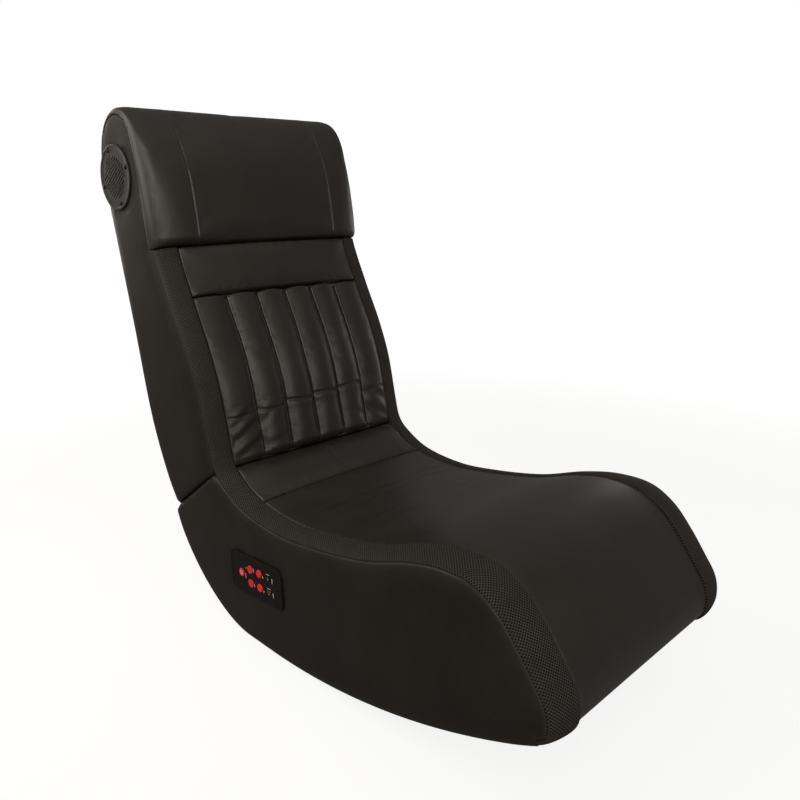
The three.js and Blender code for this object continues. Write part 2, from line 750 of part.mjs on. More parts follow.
function foldHinges() {
  const outerPlate = frameInner - gap - armThickness;
  const innerPlate = outerPlate - gap - armThickness;
  const radius = armWidth / 2;
  const pinStart = innerPlate - gap;
  const profile = [
    [0, pinStart - pinHeadThickness], [pinHeadRadius, pinStart - pinHeadThickness],
    [pinHeadRadius, pinStart], [pinRadius, pinStart], [pinRadius, frameInner],
    [pinHeadRadius, frameInner], [pinHeadRadius, frameInner + pinHeadThickness],
    [0, frameInner + pinHeadThickness],
  ];
  for (const side of [1, -1]) {
    const name = nodeSide(side);
    const onAxis = (size, from, to) => rod(side, size, from, to, 24, pivot.x, pivot.y);
    const bar = (angle, start, inner, outer) =>
      sideSlab(armOutline(angle, start, armReach, radius), side, inner, outer);
    const eye = onAxis(pinRadius + gap, pinStart, frameInner);
    const seatArm = bar(seatArmAngle, 0, outerPlate, frameInner - gap);
    addMesh(`hinge_seat_arm_${name}`, cut(seatArm, [eye]), materials.steel);
    // Thin where it lies inside the seat arm, and twice as thick beyond it
    const clear = radius + armEyeLength / 4;
    const thinPart = cut(bar(backArmAngle, 0, innerPlate, outerPlate),
      [eye, onAxis(clear, innerPlate + armThickness, frameInner)]);
    const thickPart = cut(bar(backArmAngle, armEyeLength, outerPlate - gap, frameInner - gap),
      [onAxis(clear, outerPlate - gap, frameInner)]);
    addMesh(`hinge_back_arm_${name}`, join(thinPart, thickPart), materials.steel);
    addMesh(`hinge_pin_${name}`, turned(profile, side, 12).translate(0, pivot.x, pivot.y), materials.steel);
  }
}

// Speakers: out is measured from the outer face of the side frame

const speaker = profilePoint([speakerShareY, speakerShareZ]);
const seatOnFrame = gap;
const coverFace = half - frameOuter;

function aroundSpeaker(radius, angle) {
  return direction(angle).multiplyScalar(radius);
}

const screwAngles = [0, 90, 180, 270].map((angle) => angle + screwFirstAngle);

function screwHoles(side, from, to) {
  return screwAngles.map((angle) => {
    const place = aroundSpeaker(screwCircle, angle);
    return rod(side, screwRadius + gap, from, to, 8, place.x, place.y);
  });
}

function speakerHoles(side) {
  const basket = rod(side, basketRadius + gap * 2, frameInner - gap, frameOuter + gap, 24);
  return [basket, ...screwHoles(side, frameInner - gap, frameOuter + gap)]
    .map((hole) => hole.translate(0, speaker.x, speaker.y));
}

function grilleOutlineHoles() {
  const holes = [];
  const rowStep = grillePitch * Math.sqrt(3) / 2;
  const rowReach = Math.floor(grilleField / rowStep);
  const columnReach = Math.ceil(grilleField / grillePitch);
  for (let row = -rowReach; row <= rowReach; row++) {
    for (let column = -columnReach; column <= columnReach; column++) {
      const place = new THREE.Vector2((column + (row % 2 ? 0.5 : 0)) * grillePitch, row * rowStep);
      if (place.length() + grilleHole <= grilleField) holes.push(place);
    }
  }
  return holes;
}

function grille(side) {
  const shape = new THREE.Shape().absarc(0, 0, grilleRadius, 0, Math.PI * 2);
  for (const place of grilleOutlineHoles()) {
    const corners = [0, 90, 180, 270].map((angle) => beyond(place, direction(angle), grilleHole));
    shape.holes.push(new THREE.Path(corners));
  }
  const { shape: outline, holes } = shape.extractPoints(6);
  const flat = new THREE.Shape(outline);
  flat.holes = holes.map((points) => new THREE.Path(points));
  const geometry = new THREE.ExtrudeGeometry(flat, { depth: grilleThickness, bevelEnabled: false });
  geometry.rotateX(Math.PI / 2).rotateZ(side * Math.PI / 2);
  return geometry.translate(side * (coverFace + gap), 0, 0);
}

function driver(side) {
  const inner = basketRadius - basketWall;
  const floor = magnetThickness - driverDepth + basketWall;
  const coilOuter = coilRadius + coilClearance;
  const coilInner = coilRadius - coilWall - coilClearance;
  const coilFloor = basketWall * 2 - driverDepth;
  const flangeTop = driverFlangeThickness;
  const profile = [
    [0, -driverDepth], [magnetRadius, -driverDepth], [magnetRadius, magnetThickness - driverDepth],
    [basketRadius, -basketWall * 2], [basketRadius, 0], [driverFlange, 0],
    [driverFlange, flangeTop], [basketRadius - basketWall / 2, flangeTop], [inner, -basketWall * 1.5],
    [coilOuter + basketWall, floor], [coilOuter, floor], [coilOuter, coilFloor], [coilInner, coilFloor],
    [coilInner, floor], [0, floor],
  ];
  return turned(profile, side, 20);
}

function cone(side) {
  const rim = basketRadius - basketWall * 2;
  const coilInner = coilRadius - coilWall;
  const neck = -driverDepth / 2 + coneTravel;
  const coilEnd = basketWall * 2 - driverDepth + 2 * coneTravel;
  const cap = neck + coneThickness * 3;
  const profile = [
    [0, cap], [coilInner, neck], [coilInner, coilEnd], [coilRadius, coilEnd], [coilRadius, neck],
    [rim, -coneThickness], [rim, 0], [coilRadius, neck + coneThickness], [0, cap + coneThickness],
  ];
  return turned(profile, side, 16);
}

function screw(side) {
  const top = coverFace + 2 * gap + grilleThickness;
  return turned([
    [0, top - screwLength], [screwRadius, top - screwLength], [screwRadius, top],
    [screwHeadRadius, top], [screwHeadRadius * 0.7, top + screwHeadThickness],
    [0, top + screwHeadThickness],
  ], side, 8);
}

function speakers() {
  for (const side of [1, -1]) {
    const group = new THREE.Group();
    group.position.set(side * frameOuter, speaker.x, speaker.y);
    pieces.add(group);
    const name = nodeSide(side);
    const holes = screwHoles(side, 0, half);
    addMesh(`speaker_grille_${name}`, cut(grille(side), holes), materials.blackPlastic, group);
    const frame = cut(driver(side), holes);
    addMesh(`speaker_driver_${name}`, frame.translate(side * seatOnFrame, 0, 0), materials.steel, group);
    const paper = cone(side).translate(side * seatOnFrame, 0, 0);
    addMesh(`speaker_cone_${name}`, paper, materials.cone, group);
    screwAngles.forEach((angle, i) => {
      const place = aroundSpeaker(screwCircle, angle);
      const mesh = addMesh(`grille_screw_${name}_${i + 1}`, screw(side), materials.steel, group);
      mesh.position.set(0, place.x, place.y);
    });
  }
}

// Control panel on the sitter's right: in its group, out is measured from the side cover's face,
// -X is outwards and +Y is towards the rear of the chair

const panel = new THREE.Group();
const panelPlace = profilePoint([panelShareY, panelShareZ]);
panel.position.set(-half, panelPlace.x, panelPlace.y);
panel.rotation.x = radians(panelTilt);

function roundedRect(length, height, radius) {
  const shape = new THREE.Shape();
  const [x, y] = [length / 2 - radius, height / 2 - radius];
  shape.absarc(x, y, radius, 0, Math.PI / 2);
  shape.absarc(-x, y, radius, Math.PI / 2, Math.PI);
  shape.absarc(-x, -y, radius, Math.PI, Math.PI * 1.5);
  shape.absarc(x, -y, radius, Math.PI * 1.5, Math.PI * 2);
  return shape.getPoints(5);
}

function panelOpening() {
  panel.updateMatrixWorld(true);
  const depth = half - frameInner + cutOverrun;
  return box(depth, housingLength + 2 * gap, housingHeight + 2 * gap)
    .translate(depth / 2 - gap, 0, 0)
    .applyMatrix4(panel.matrixWorld);
}

const columns = [0, 1, 2, 3].map((column) => columnStart - column * columnPitch);
const rows = [rowPitch / 2, -rowPitch / 2];
const buttonPlaces = [
  ['power_button', columns[0], 0],
  ['volume_up_button', columns[1], rows[0]],
  ['volume_down_button', columns[1], rows[1]],
  ['bass_up_button', columns[2], rows[0]],
  ['bass_down_button', columns[2], rows[1]],
];
const socketPlaces = [
  ['audio_socket', columns[3], rows[0]],
  ['power_socket', columns[3], rows[1]],
];
const stemEnd = -buttonFlange - stemLength;
const boardFace = stemEnd - buttonTravel - gap;

function button() {
  return turned([
    [0, stemEnd], [stemRadius, stemEnd], [stemRadius, -buttonFlange],
    [buttonRadius + buttonFlange, -buttonFlange], [buttonRadius + buttonFlange, 0],
    [buttonRadius, 0], [buttonRadius, gap + panelThickness + buttonProud * 0.6],
    [buttonRadius * 0.85, gap + panelThickness + buttonProud], [0, gap + panelThickness + buttonProud],
  ], -1, 12);
}

function socket(bore, pin) {
  const [base, top] = [boardFace + gap, gap + panelThickness + socketProud];
  const floor = top - socketDepth;
  const inside = pin > 0 ? [[pin, floor], [pin, top - buttonProud], [0, top - buttonProud]] : [[0, floor]];
  return turned([
    [0, base], [socketBody, base], [socketBody, 0], [socketBarrel, 0], [socketBarrel, top],
    [bore, top], [bore, floor], ...inside,
  ], -1, 12);
}

function controlPanel() {
  pieces.add(panel);
  const plate = slab(roundedRect(panelLength, panelHeight, panelCorner), -gap - panelThickness, -gap);
  const holes = [
    ...buttonPlaces.map(([, y, z]) => rod(-1, buttonRadius + gap, -gap, half, 12, y, z)),
    ...socketPlaces.map(([, y, z]) => rod(-1, socketBarrel + gap, -gap, half, 12, y, z)),
  ];
  addMesh('control_faceplate', cut(plate, holes), materials.blackPlastic, panel);

  const shell = box(housingDepth, housingLength, housingHeight).translate(housingDepth / 2, 0, 0);
  const [innerLength, innerHeight] = [housingLength - 2 * housingWall, housingHeight - 2 * housingWall];
  const hollow = box(housingDepth, innerLength, innerHeight).translate(housingDepth / 2 - housingWall, 0, 0);
  const boardBack = boardSheet - boardFace;
  const posts = [1, -1].flatMap((y) => [1, -1].map((z) => rod(1, postRadius,
    boardBack + gap, housingDepth - housingWall / 2, 8,
    y * (innerLength / 2 - 2 * postRadius), z * (innerHeight / 2 - 2 * postRadius))));
  addMesh('control_housing', posts.reduce(join, cut(shell, [hollow])), materials.blackPlastic, panel);

  const board = box(boardSheet, innerLength - 2 * gap, innerHeight - 2 * gap)
    .translate(boardBack - boardSheet / 2, 0, 0);
  addMesh('control_board', board, materials.circuit, panel);
  for (const [name, y, z] of buttonPlaces) {
    addMesh(name, button(), materials.redPlastic, panel).position.set(0, y, z);
  }
  const bores = { audio_socket: [audioBore, 0], power_socket: [powerBore, powerPin] };
  for (const [name, y, z] of socketPlaces) {
    addMesh(name, socket(...bores[name]), materials.steel, panel).position.set(0, y, z);
  }
}

// Leads: a round tube through points chosen by hand, as [x, place in the side plane]

function lead(points, steps) {
  const knots = points.map(([x, place]) => new THREE.Vector3(x, place.x, place.y));
  const path = new THREE.CatmullRomCurve3(knots, false, 'centripetal');
  const outline = new THREE.Shape(Array.from({ length: leadSides }, (_, i) =>
    direction(i * 360 / leadSides).multiplyScalar(leadRadius)));
  return new THREE.ExtrudeGeometry(outline, { steps, extrudePath: path, bevelEnabled: false });
}

// On the hinge axis the two leads meet end to end along X, so folding only twists them there.
function leads() {
  const meeting = -frameInner + 2 * (armThickness + gap) + pinHeadThickness + leadLane;
  const [seatLane, backLane] = [meeting - 3 * leadRadius, meeting + 3 * leadRadius];
  const onSeatArm = (distance) => beyond(pivot, direction(seatArmAngle), distance);
  const onBackArm = (distance) => beyond(pivot, direction(backArmAngle), distance);
  const nearArm = [0.07, 0.2, 0.55, 1].map((share) => share * armReach);
  const fromBoard = -half + housingDepth + gap;
  const seatPoints = [
    [fromBoard, profilePoint([0.6, 0.16])], [fromBoard + leadLane, profilePoint([0.6, 0.16])],
    [seatLane + leadLane, profilePoint([0.625, 0.19])],
    ...nearArm.map((distance) => [seatLane, onSeatArm(distance)]).reverse(),
    [meeting - 1.4 * leadRadius, pivot], [meeting - gap / 2, pivot],
  ];
  addMesh('seat_speaker_lead', lead(seatPoints, 24), materials.rubber);
  const magnetBack = half - coverFace + gap - driverDepth - gap;
  const above = speaker.clone().setY(speaker.y + magnetRadius / 3);
  const below = speaker.clone().setY(speaker.y - magnetRadius / 3);
  const backPoints = [
    [meeting + gap / 2, pivot], [meeting + 1.4 * leadRadius, pivot],
    ...nearArm.map((distance) => [backLane, onBackArm(distance)]),
    [backLane, profilePoint([0.865, 0.5])], [backLane + leadLane, profilePoint([0.9, 0.68])],
    [backLane + leadLane, profilePoint([0.93, 0.82])],
    [-magnetBack + leadLane, below], [-magnetBack, below],
  ];
  addMesh('back_speaker_lead', lead(backPoints, 34), materials.rubber);
  const across = [
    [-magnetBack, above], [-magnetBack + leadLane, above], [-half / 2, profilePoint([0.96, 0.88])],
    [half / 2, profilePoint([0.96, 0.88])], [magnetBack - leadLane, above], [magnetBack, above],
  ];
  addMesh('speaker_link_lead', lead(across, 14), materials.rubber);
}

seatPads();
seatBoards();
seatCovers();
seatRails();
backPads();
backBoards();
backCovers();
backRails();
foldHinges();
speakers();
controlPanel();
leads();

const extent = new THREE.Box3().setFromObject(pieces);
pieces.position.y = -(extent.min.y + extent.max.y) / 2;

export default chair;
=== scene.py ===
# %% [markdown]
# A gaming rocker chair: a legless chair that stands on its own curved underside. The packed
# solids are the frame of this script: every soft or showing piece is modelled over them, in the
# same place, and most ride on the same moving body; the pads and mesh bands by the fold and the
# gusset are attached to none. Lengths are metres, +Z is up, the sitter faces -Y, and the side
# with the control panel is -X.

# %% Load the imported model
import math

import bpy
import bmesh
import numpy as np
from mathutils import Matrix, Vector, noise
from mathutils.kdtree import KDTree


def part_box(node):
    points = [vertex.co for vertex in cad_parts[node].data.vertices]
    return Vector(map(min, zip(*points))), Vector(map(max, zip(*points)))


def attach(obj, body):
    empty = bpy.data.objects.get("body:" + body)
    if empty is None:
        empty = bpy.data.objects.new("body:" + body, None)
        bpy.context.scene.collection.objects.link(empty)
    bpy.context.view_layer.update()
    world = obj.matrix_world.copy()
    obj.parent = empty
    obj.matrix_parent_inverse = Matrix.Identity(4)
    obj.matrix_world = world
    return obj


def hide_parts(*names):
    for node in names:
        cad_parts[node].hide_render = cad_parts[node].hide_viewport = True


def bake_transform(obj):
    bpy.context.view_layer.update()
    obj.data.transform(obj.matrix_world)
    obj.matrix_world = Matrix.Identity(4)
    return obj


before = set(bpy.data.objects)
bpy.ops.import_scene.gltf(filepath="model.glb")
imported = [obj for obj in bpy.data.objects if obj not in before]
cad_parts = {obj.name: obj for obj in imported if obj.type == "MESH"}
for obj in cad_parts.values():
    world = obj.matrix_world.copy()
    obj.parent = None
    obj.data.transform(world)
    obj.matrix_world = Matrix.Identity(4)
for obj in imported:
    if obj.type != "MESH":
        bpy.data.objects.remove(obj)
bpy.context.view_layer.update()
scene = bpy.context.scene

# %% [markdown]
# The camera repeats the photo's view: it stands in front of the sitter's right knee, a little
# under head height, and looks down by some 15 degrees. A perspective solved from the edges of
# the chair gave its place and its lens.

# %% Camera
MM = 0.001
CAMERA_PLACE = (-0.7958, -0.8285, 0.6955)
CAMERA_TURN = (math.radians(74.479), 0, math.radians(-44.81))
CAMERA_LENS = 34.06

bpy.ops.object.camera_add(location=CAMERA_PLACE, rotation=CAMERA_TURN)
camera = bpy.context.object
camera.name = "photo_camera"
camera.data.lens = CAMERA_LENS
camera.data.sensor_width = 36
scene.camera = camera
print("camera", [round(value, 3) for value in camera.location])

# %% [markdown]
# Shader maths reads best as plain expressions. One small class stands for an output of a node:
# adding or multiplying it makes the Math node behind the scenes. A second class stands for a
# finish, and has one method that makes every other kind of node.

# %% Shader helpers
class Wire:
    """An output of a node, which can be used in sums and products."""

    def __init__(self, finish, socket):
        self.finish, self.socket = finish, socket

    def math(self, operation, *others):
        inputs = dict(enumerate((self, *others)))
        return self.finish.node("Math", inputs, operation=operation)

    def __add__(self, other):
        return self.math("ADD", other)

    def __mul__(self, other):
        return self.math("MULTIPLY", other)

    def __sub__(self, other):
        return self.math("SUBTRACT", other)

    def __rsub__(self, other):
        return self.finish.value(other).math("SUBTRACT", self)

    __radd__, __rmul__ = __add__, __mul__

    def between(self, low, high):
        """0 up to low, 1 from high on, and smooth between them."""
        inputs = {"Value": self, "From Min": low, "From Max": high}
        return self.finish.node("MapRange", inputs, interpolation_type="SMOOTHSTEP")

    def mix(self, first, second):
        """A colour: first where this is 0 and second where it is 1."""
        inputs = {"Factor": self, 6: (*first, 1), 7: (*second, 1)}
        return self.finish.node("Mix", inputs, output=2, data_type="RGBA")


class Finish:
    """A material and its shader tree."""

    def __init__(self, name, **constants):
        self.material = bpy.data.materials.new(name)
        self.material.use_nodes = True
        self.tree = self.material.node_tree
        self.shader = self.tree.nodes["Principled BSDF"]
        self.set(**constants)

    def node(self, kind, inputs=None, output=0, **settings):
        """Any node: its settings come first, then the values or links of its sockets."""
        made = self.tree.nodes.new("ShaderNode" + kind)
        for key, value in settings.items():
            setattr(made, key, value)
        for key, value in (inputs or {}).items():
            self.plug(made.inputs[key], value)
        return Wire(self, made.outputs[output])

    def plug(self, socket, value):
        if isinstance(value, Wire):
            self.tree.links.new(value.socket, socket)
        else:
            socket.default_value = value

    def set(self, **inputs):
        """Values and links of the main shader's sockets, and colours as plain triples."""
        for key, value in inputs.items():
            if isinstance(value, tuple) and len(value) == 3:
                value = (*value, 1)
            self.plug(self.shader.inputs[key.replace("_", " ")], value)
        return self

    def value(self, number):
        return self.node("Math", {0: number, 1: 0.0}, operation="ADD")

    def place(self, scale=(1, 1, 1), turn=(0, 0, 0)):
        """The point on the piece, in metres, scaled and turned for a pattern."""
        spot = self.node("TexCoord", output="Object")
        return self.node("Mapping", {"Vector": spot, "Scale": scale, "Rotation": turn})

    def noise(self, scale, detail=3, vector=None, roughness=0.5):
        return self.node("TexNoise", {"Vector": vector or self.place(), "Scale": scale,
                                      "Detail": detail, "Roughness": roughness})

    def bump(self, *layers):
        """Normal from (height, distance in metres) pairs, the broadest first."""
        normal = None
        for height, distance in layers:
            inputs = {"Height": height, "Distance": distance, "Strength": 1.0}
            if normal:
                inputs["Normal"] = normal
            normal = self.node("Bump", inputs)
        return self.set(Normal=normal)

    def attribute(self, name):
        return self.node("Attribute", output="Fac", attribute_name=name)


print("shader helpers ready")

# %% [markdown]
# The studio is a white sweep: pale floor, white world and large soft lamps on all sides. The white
# that the camera sees comes from the colour of the floor and the world, so that the lamps can
# stay low and black leatherette still renders as black.

# %% Floor, world and lamps
FLOOR_SIZE = 40.0
FLOOR_SEEN, FLOOR_BOUNCE = 0.85, 0.22  # its lightness for the camera and for the light it throws back
FLOOR_LIFT, FLOOR_GLOW = 0.80, 1.06  # how much of the floor the camera sees as plain white
FLOOR_FADE = (1.0, 2.6)  # from and to which distance that grows to all of it
FLOOR_MIRRORED = 0.06  # the same in reflections, which the black leatherette would show as grey

bpy.ops.mesh.primitive_plane_add(size=FLOOR_SIZE, location=(0, 0, 0))
floor = bpy.context.object
floor.name = "studio_floor"
floor_finish = Finish("studio_white", Roughness=0.9)
rays = floor_finish.tree.nodes.new("ShaderNodeLightPath")
camera_ray, glossy_ray, clear_ray = (Wire(floor_finish, rays.outputs[f"Is {kind} Ray"])
                                     for kind in ("Camera", "Glossy", "Transmission"))
floor_finish.set(Base_Color=camera_ray.mix((FLOOR_BOUNCE,) * 3, (FLOOR_SEEN,) * 3))
glow = floor_finish.node("Emission", {"Color": (1, 1, 1, 1), "Strength": FLOOR_GLOW})
away = floor_finish.node("VectorMath", {0: floor_finish.place()}, output=1, operation="LENGTH")
lift = away.between(*FLOOR_FADE) * (1 - FLOOR_LIFT) + FLOOR_LIFT
blend_in = (camera_ray + clear_ray).math("MINIMUM", 1.0) * lift + glossy_ray * FLOOR_MIRRORED
plain_floor = Wire(floor_finish, floor_finish.shader.outputs[0])
mixed = floor_finish.node("MixShader", {0: blend_in, 1: plain_floor, 2: glow})
floor_finish.tree.links.new(mixed.socket, floor_finish.tree.nodes["Material Output"].inputs["Surface"])
floor.data.materials.append(floor_finish.material)

WORLD_LIGHT = 0.20
LAMP_TINT = (1.0, 0.945, 0.875)
world = bpy.data.worlds.new("studio_world")
scene.world = world
world.use_nodes = True
world_tree = world.node_tree
sky = world_tree.nodes["Background"]
paths = world_tree.nodes.new("ShaderNodeLightPath")
shown = world_tree.nodes.new("ShaderNodeMath")
shown.operation = "MAXIMUM"
world_tree.links.new(paths.outputs["Is Camera Ray"], shown.inputs[0])
world_tree.links.new(paths.outputs["Is Transmission Ray"], shown.inputs[1])
level = world_tree.nodes.new("ShaderNodeMapRange")
level.inputs["To Min"].default_value = WORLD_LIGHT
level.inputs["To Max"].default_value = 1.0
world_tree.links.new(shown.outputs[0], level.inputs["Value"])
world_tree.links.new(level.outputs[0], sky.inputs["Strength"])
sky.inputs["Color"].default_value = (1, 1, 1, 1)


def lamp(name, place, aim, size, power):
    """A soft rectangular lamp that faces a point."""
    bpy.ops.object.light_add(type="AREA", location=place)
    made = bpy.context.object
    made.name = name
    made.data.shape = "RECTANGLE"
    made.data.size, made.data.size_y = size
    made.data.energy = power
    made.data.color = LAMP_TINT
    made.visible_camera = False
    made.rotation_euler = (Vector(aim) - Vector(place)).to_track_quat("-Z", "Y").to_euler()


CHAIR_MIDDLE = (0, 0, 0.35)
BACK_SIDE = (-0.215, 0.40, 0.62)  # the backrest's side panel, which has a small lamp of its own
lamp("lamp_key", (-1.85, -1.55, 1.9), CHAIR_MIDDLE, (1.2, 1.2), 27)
lamp("lamp_front", (-0.9, -3.1, 1.2), CHAIR_MIDDLE, (2.0, 1.2), 28)
lamp("lamp_side", (-0.72, 0.52, 0.98), BACK_SIDE, (0.70, 0.70), 5.5)
lamp("lamp_top", (0.3, -0.5, 2.9), CHAIR_MIDDLE, (2.2, 2.2), 6)
lamp("lamp_left", (-2.6, -0.5, 0.8), CHAIR_MIDDLE, (1.0, 1.2), 1.5)
lamp("lamp_right", (2.6, 0.3, 0.45), CHAIR_MIDDLE, (1.2, 1.0), 8)
lamp("lamp_back", (0.0, 2.8, 0.9), CHAIR_MIDDLE, (1.2, 1.2), 24)
scene.view_settings.view_transform = "Standard"

# %% [markdown]
# Black leatherette is plastic film with a pressed grain: small round pebbles about a
# millimetre apart, with broad shallow waves where the foam under it gives. It is not evenly
# glossy: where hands and seams pull it, the film is a little smoother, and along seams and edges
# its colour is lightened as a painted highlight. The grain could be an image, but a cell pattern
# in the shader stays sharp at any distance.

# %% Leatherette
LEATHER_BLACK = (0.0170, 0.0138, 0.0106)
# the lighter colour, for random paler patches and for painted highlights along seams and edges
LEATHER_PALE_AND_HIGHLIGHT = (0.0300, 0.0250, 0.0200)


def leatherette(name, grain=0.00011, roughness=0.40, shine=0.36, painted_shade_level=1.0):
    finish = Finish(name, Specular_IOR_Level=shine)
    broad = finish.noise(14, 4)
    fine = finish.noise(420, 3)
    pebbles = finish.node("TexVoronoi", {"Vector": finish.place(), "Scale": 760}, feature="SMOOTH_F1")
    cloudy = (broad * 0.6 + fine * 0.4).between(0.32, 0.68)
    # this attribute makes the film smoother and paints a lighter highlight into its colour along seams and
    # edges
    wear_and_highlight = finish.attribute("wear_and_highlight")
    # a level below 1 darkens the black as painted shade
    plain = tuple(c * painted_shade_level for c in LEATHER_BLACK)
    finish.set(Base_Color=(cloudy * 0.35 + wear_and_highlight * 0.65).mix(plain, LEATHER_PALE_AND_HIGHLIGHT))
    finish.set(Roughness=broad * 0.10 + fine * 0.08 + pebbles * 0.05 + (roughness - 0.10) - wear_and_highlight * 0.12)
    dents, creases = finish.noise(9, 2), finish.noise(45, 2)
    finish.bump((dents, 0.0009), (creases, 0.00008), (pebbles, grain), (fine, grain * 0.6))
    return finish


pad_leather = leatherette("pad_leatherette_black")
# The covers get a darker copy of the same leatherette: painted shade on the side panels, the back and the
# underside.
cover_leather = leatherette("cover_leatherette_shaded_black", grain=0.00009, roughness=0.48, shine=0.12, painted_shade_level=0.84)
print("finishes", pad_leather.material.name, cover_leather.material.name)

# %% [markdown]
# The bands beside the cushions are spacer mesh, a dull knitted fabric with rows of open
# diamond cells, four millimetres apart along the band and three on the slant. The open cells are
# coloured almost black: the dark inner layer seen through them, with painted shade in their depth.
# The pattern has to follow the band round its bends, so it reads the band's own UV map, which
# is in metres: across, then along.

# %% Spacer mesh
MESH_PITCH = 0.0042
MESH_THREAD = (0.0530, 0.0445, 0.0365)
# near-black of the open cells: the dark inner layer with painted shade in their depth
MESH_HOLE_SHADE = (0.0012, 0.0011, 0.0010)

spacer_mesh = Finish("spacer_mesh_black", Specular_IOR_Level=0.25)
uv_point = spacer_mesh.node("TexCoord", output="UV")
uv_parts = spacer_mesh.tree.nodes.new("ShaderNodeSeparateXYZ")
spacer_mesh.plug(uv_parts.inputs[0], uv_point)
across, along = (Wire(spacer_mesh, uv_parts.outputs[i]) for i in (0, 1))
wave_a = ((across + along) * (math.pi / MESH_PITCH)).math("SINE")
wave_b = ((across - along) * (math.pi / MESH_PITCH)).math("SINE")
cells = (wave_a * wave_b).math("ABSOLUTE")
open_cell = cells.between(0.34, 0.60)
knit = spacer_mesh.noise(1500, 2)
lint = spacer_mesh.noise(35, 3)
thread_low = tuple(c * 0.55 for c in MESH_THREAD)
thread_shade = (knit * 0.7 + lint * 0.3).between(0.3, 0.75).mix(thread_low, MESH_THREAD)
# the open cells get the near-black colour: the dark inner layer and painted shade in the hollow of each cell
thread_and_shaded_cell = spacer_mesh.node("Mix", {"Factor": open_cell, 6: thread_shade, 7: (*MESH_HOLE_SHADE, 1)},
                             output=2, data_type="RGBA")
spacer_mesh.set(Base_Color=thread_and_shaded_cell, Roughness=0.80 + knit * 0.15)
spacer_mesh.bump((1 - open_cell, 0.0009), (knit, 0.00015))
print("mesh cells", round(MESH_PITCH / MM, 1), "mm apart")

# %% [markdown]
# The hard finishes: moulded black plastic with a fine spark texture, glossy red plastic for
# the buttons, screen-printed white, which also serves for painted highlights over the sockets,
# plated metal, and for the inside of the chair plywood, steel, pressed paper, laminate and cable
# insulation.

# %% Hard finishes
def moulded(name, shade, roughness, spark=0.00004, shine=0.5):
    finish = Finish(name, Specular_IOR_Level=shine)
    texture, cloud = finish.noise(2600, 2), finish.noise(90, 3)
    tint = cloud.between(0.3, 0.7).mix(tuple(c * 0.8 for c in shade), tuple(c * 1.15 for c in shade))
    finish.set(Base_Color=tint, Roughness=roughness - 0.06 + texture * 0.08 + cloud * 0.06)
    finish.bump((cloud, spark * 2), (texture, spark))
    return finish


panel_plastic = moulded("panel_plastic_black", (0.0078, 0.0062, 0.0050), 0.55, shine=0.12)
grille_plastic = moulded("grille_plastic_black", (0.0125, 0.0112, 0.0098), 0.46, spark=0.00003, shine=0.26)
button_plastic = moulded("button_plastic_red", (0.80, 0.004, 0.012), 0.30, spark=0.00001)
white_print_and_highlight = moulded("printed_white_and_highlight", (0.62, 0.61, 0.58), 0.6, spark=0.00001)
insulation = moulded("cable_insulation_black", (0.010, 0.010, 0.010), 0.55)


def plated(name, shade, roughness):
    finish = Finish(name, Metallic=1.0)
    streaks = finish.noise(260, 4, finish.place(scale=(1, 1, 14)))
    stains = finish.noise(40, 4)
    tint = stains.between(0.35, 0.7).mix(tuple(c * 0.7 for c in shade), shade)
    finish.set(Base_Color=tint, Roughness=roughness - 0.05 + streaks * 0.12)
    finish.bump((streaks, 0.00003))
    return finish


zinc_steel = plated("zinc_plated_steel", (0.52, 0.53, 0.54), 0.38)
dark_steel = plated("blackened_steel", (0.014, 0.013, 0.012), 0.50)
gold_plate = plated("gold_contact", (0.83, 0.58, 0.22), 0.25)

plywood = Finish("plywood_birch")
plies = plywood.node("TexWave", {"Vector": plywood.place(scale=(1, 1, 1)), "Scale": 210, "Distortion": 1.2,
                                 "Detail": 2}, bands_direction="X", output=1)
grain_lines = plywood.noise(90, 5, plywood.place(scale=(9, 1, 1)))
plywood.set(Base_Color=(plies * 0.45 + grain_lines * 0.55).mix((0.30, 0.185, 0.085), (0.56, 0.40, 0.22)),
            Roughness=0.62 + grain_lines * 0.2)
plywood.bump((grain_lines, 0.0002), (plies, 0.00005))

cone_paper = Finish("pressed_paper_black", Roughness=0.85)
fibres = cone_paper.noise(700, 5)
cone_paper.set(Base_Color=fibres.mix((0.008, 0.008, 0.008), (0.024, 0.022, 0.020)),
               Roughness=0.7 + fibres * 0.25)
cone_paper.bump((fibres, 0.0001))

laminate = Finish("circuit_laminate_green")
tracks = laminate.node("TexBrick", {"Vector": laminate.place(), "Scale": 90, "Mortar Size": 0.06}, output=1)
laminate.set(Base_Color=tracks.mix((0.012, 0.085, 0.035), (0.030, 0.16, 0.07)), Roughness=0.35 + tracks * 0.2)
laminate.bump((tracks, 0.00005))
print("materials", len(bpy.data.materials))

# %% [markdown]
# The solids that stay in view or inside the chair keep their shape and only get their finish.

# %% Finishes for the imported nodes
NODE_FINISHES = {
    "frame": plywood, "deck": plywood, "rail": plywood, "hinge": zinc_steel, "driver": dark_steel,
    "cone": cone_paper, "lead": insulation, "housing": panel_plastic, "board": laminate,
    "socket": dark_steel, "screw": dark_steel, "grille": grille_plastic, "faceplate": panel_plastic,
    "button": button_plastic, "mesh": spacer_mesh, "pad": pad_leather, "cushion": pad_leather,
    "cover": cover_leather,
}
for name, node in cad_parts.items():
    finish = next(made for word, made in NODE_FINISHES.items() if word in name)
    node.data.materials.clear()
    node.data.materials.append(finish.material)
print("nodes finished", len(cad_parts))

# %% [markdown]
# Every cushion of this chair follows one side profile. It is drawn here from the same points
# as the solids: shares of the chair's length and height. A centripetal Catmull-Rom spline
# passes through them without overshooting, and is then cut into even steps.

# %% Side profile
WIDTH, LENGTH, HEIGHT = 0.430, 0.938, 0.816
HALF = WIDTH / 2
SHIFT = 0.00627  # from the middle of the profile to the middle of the whole chair
STEP = 0.005

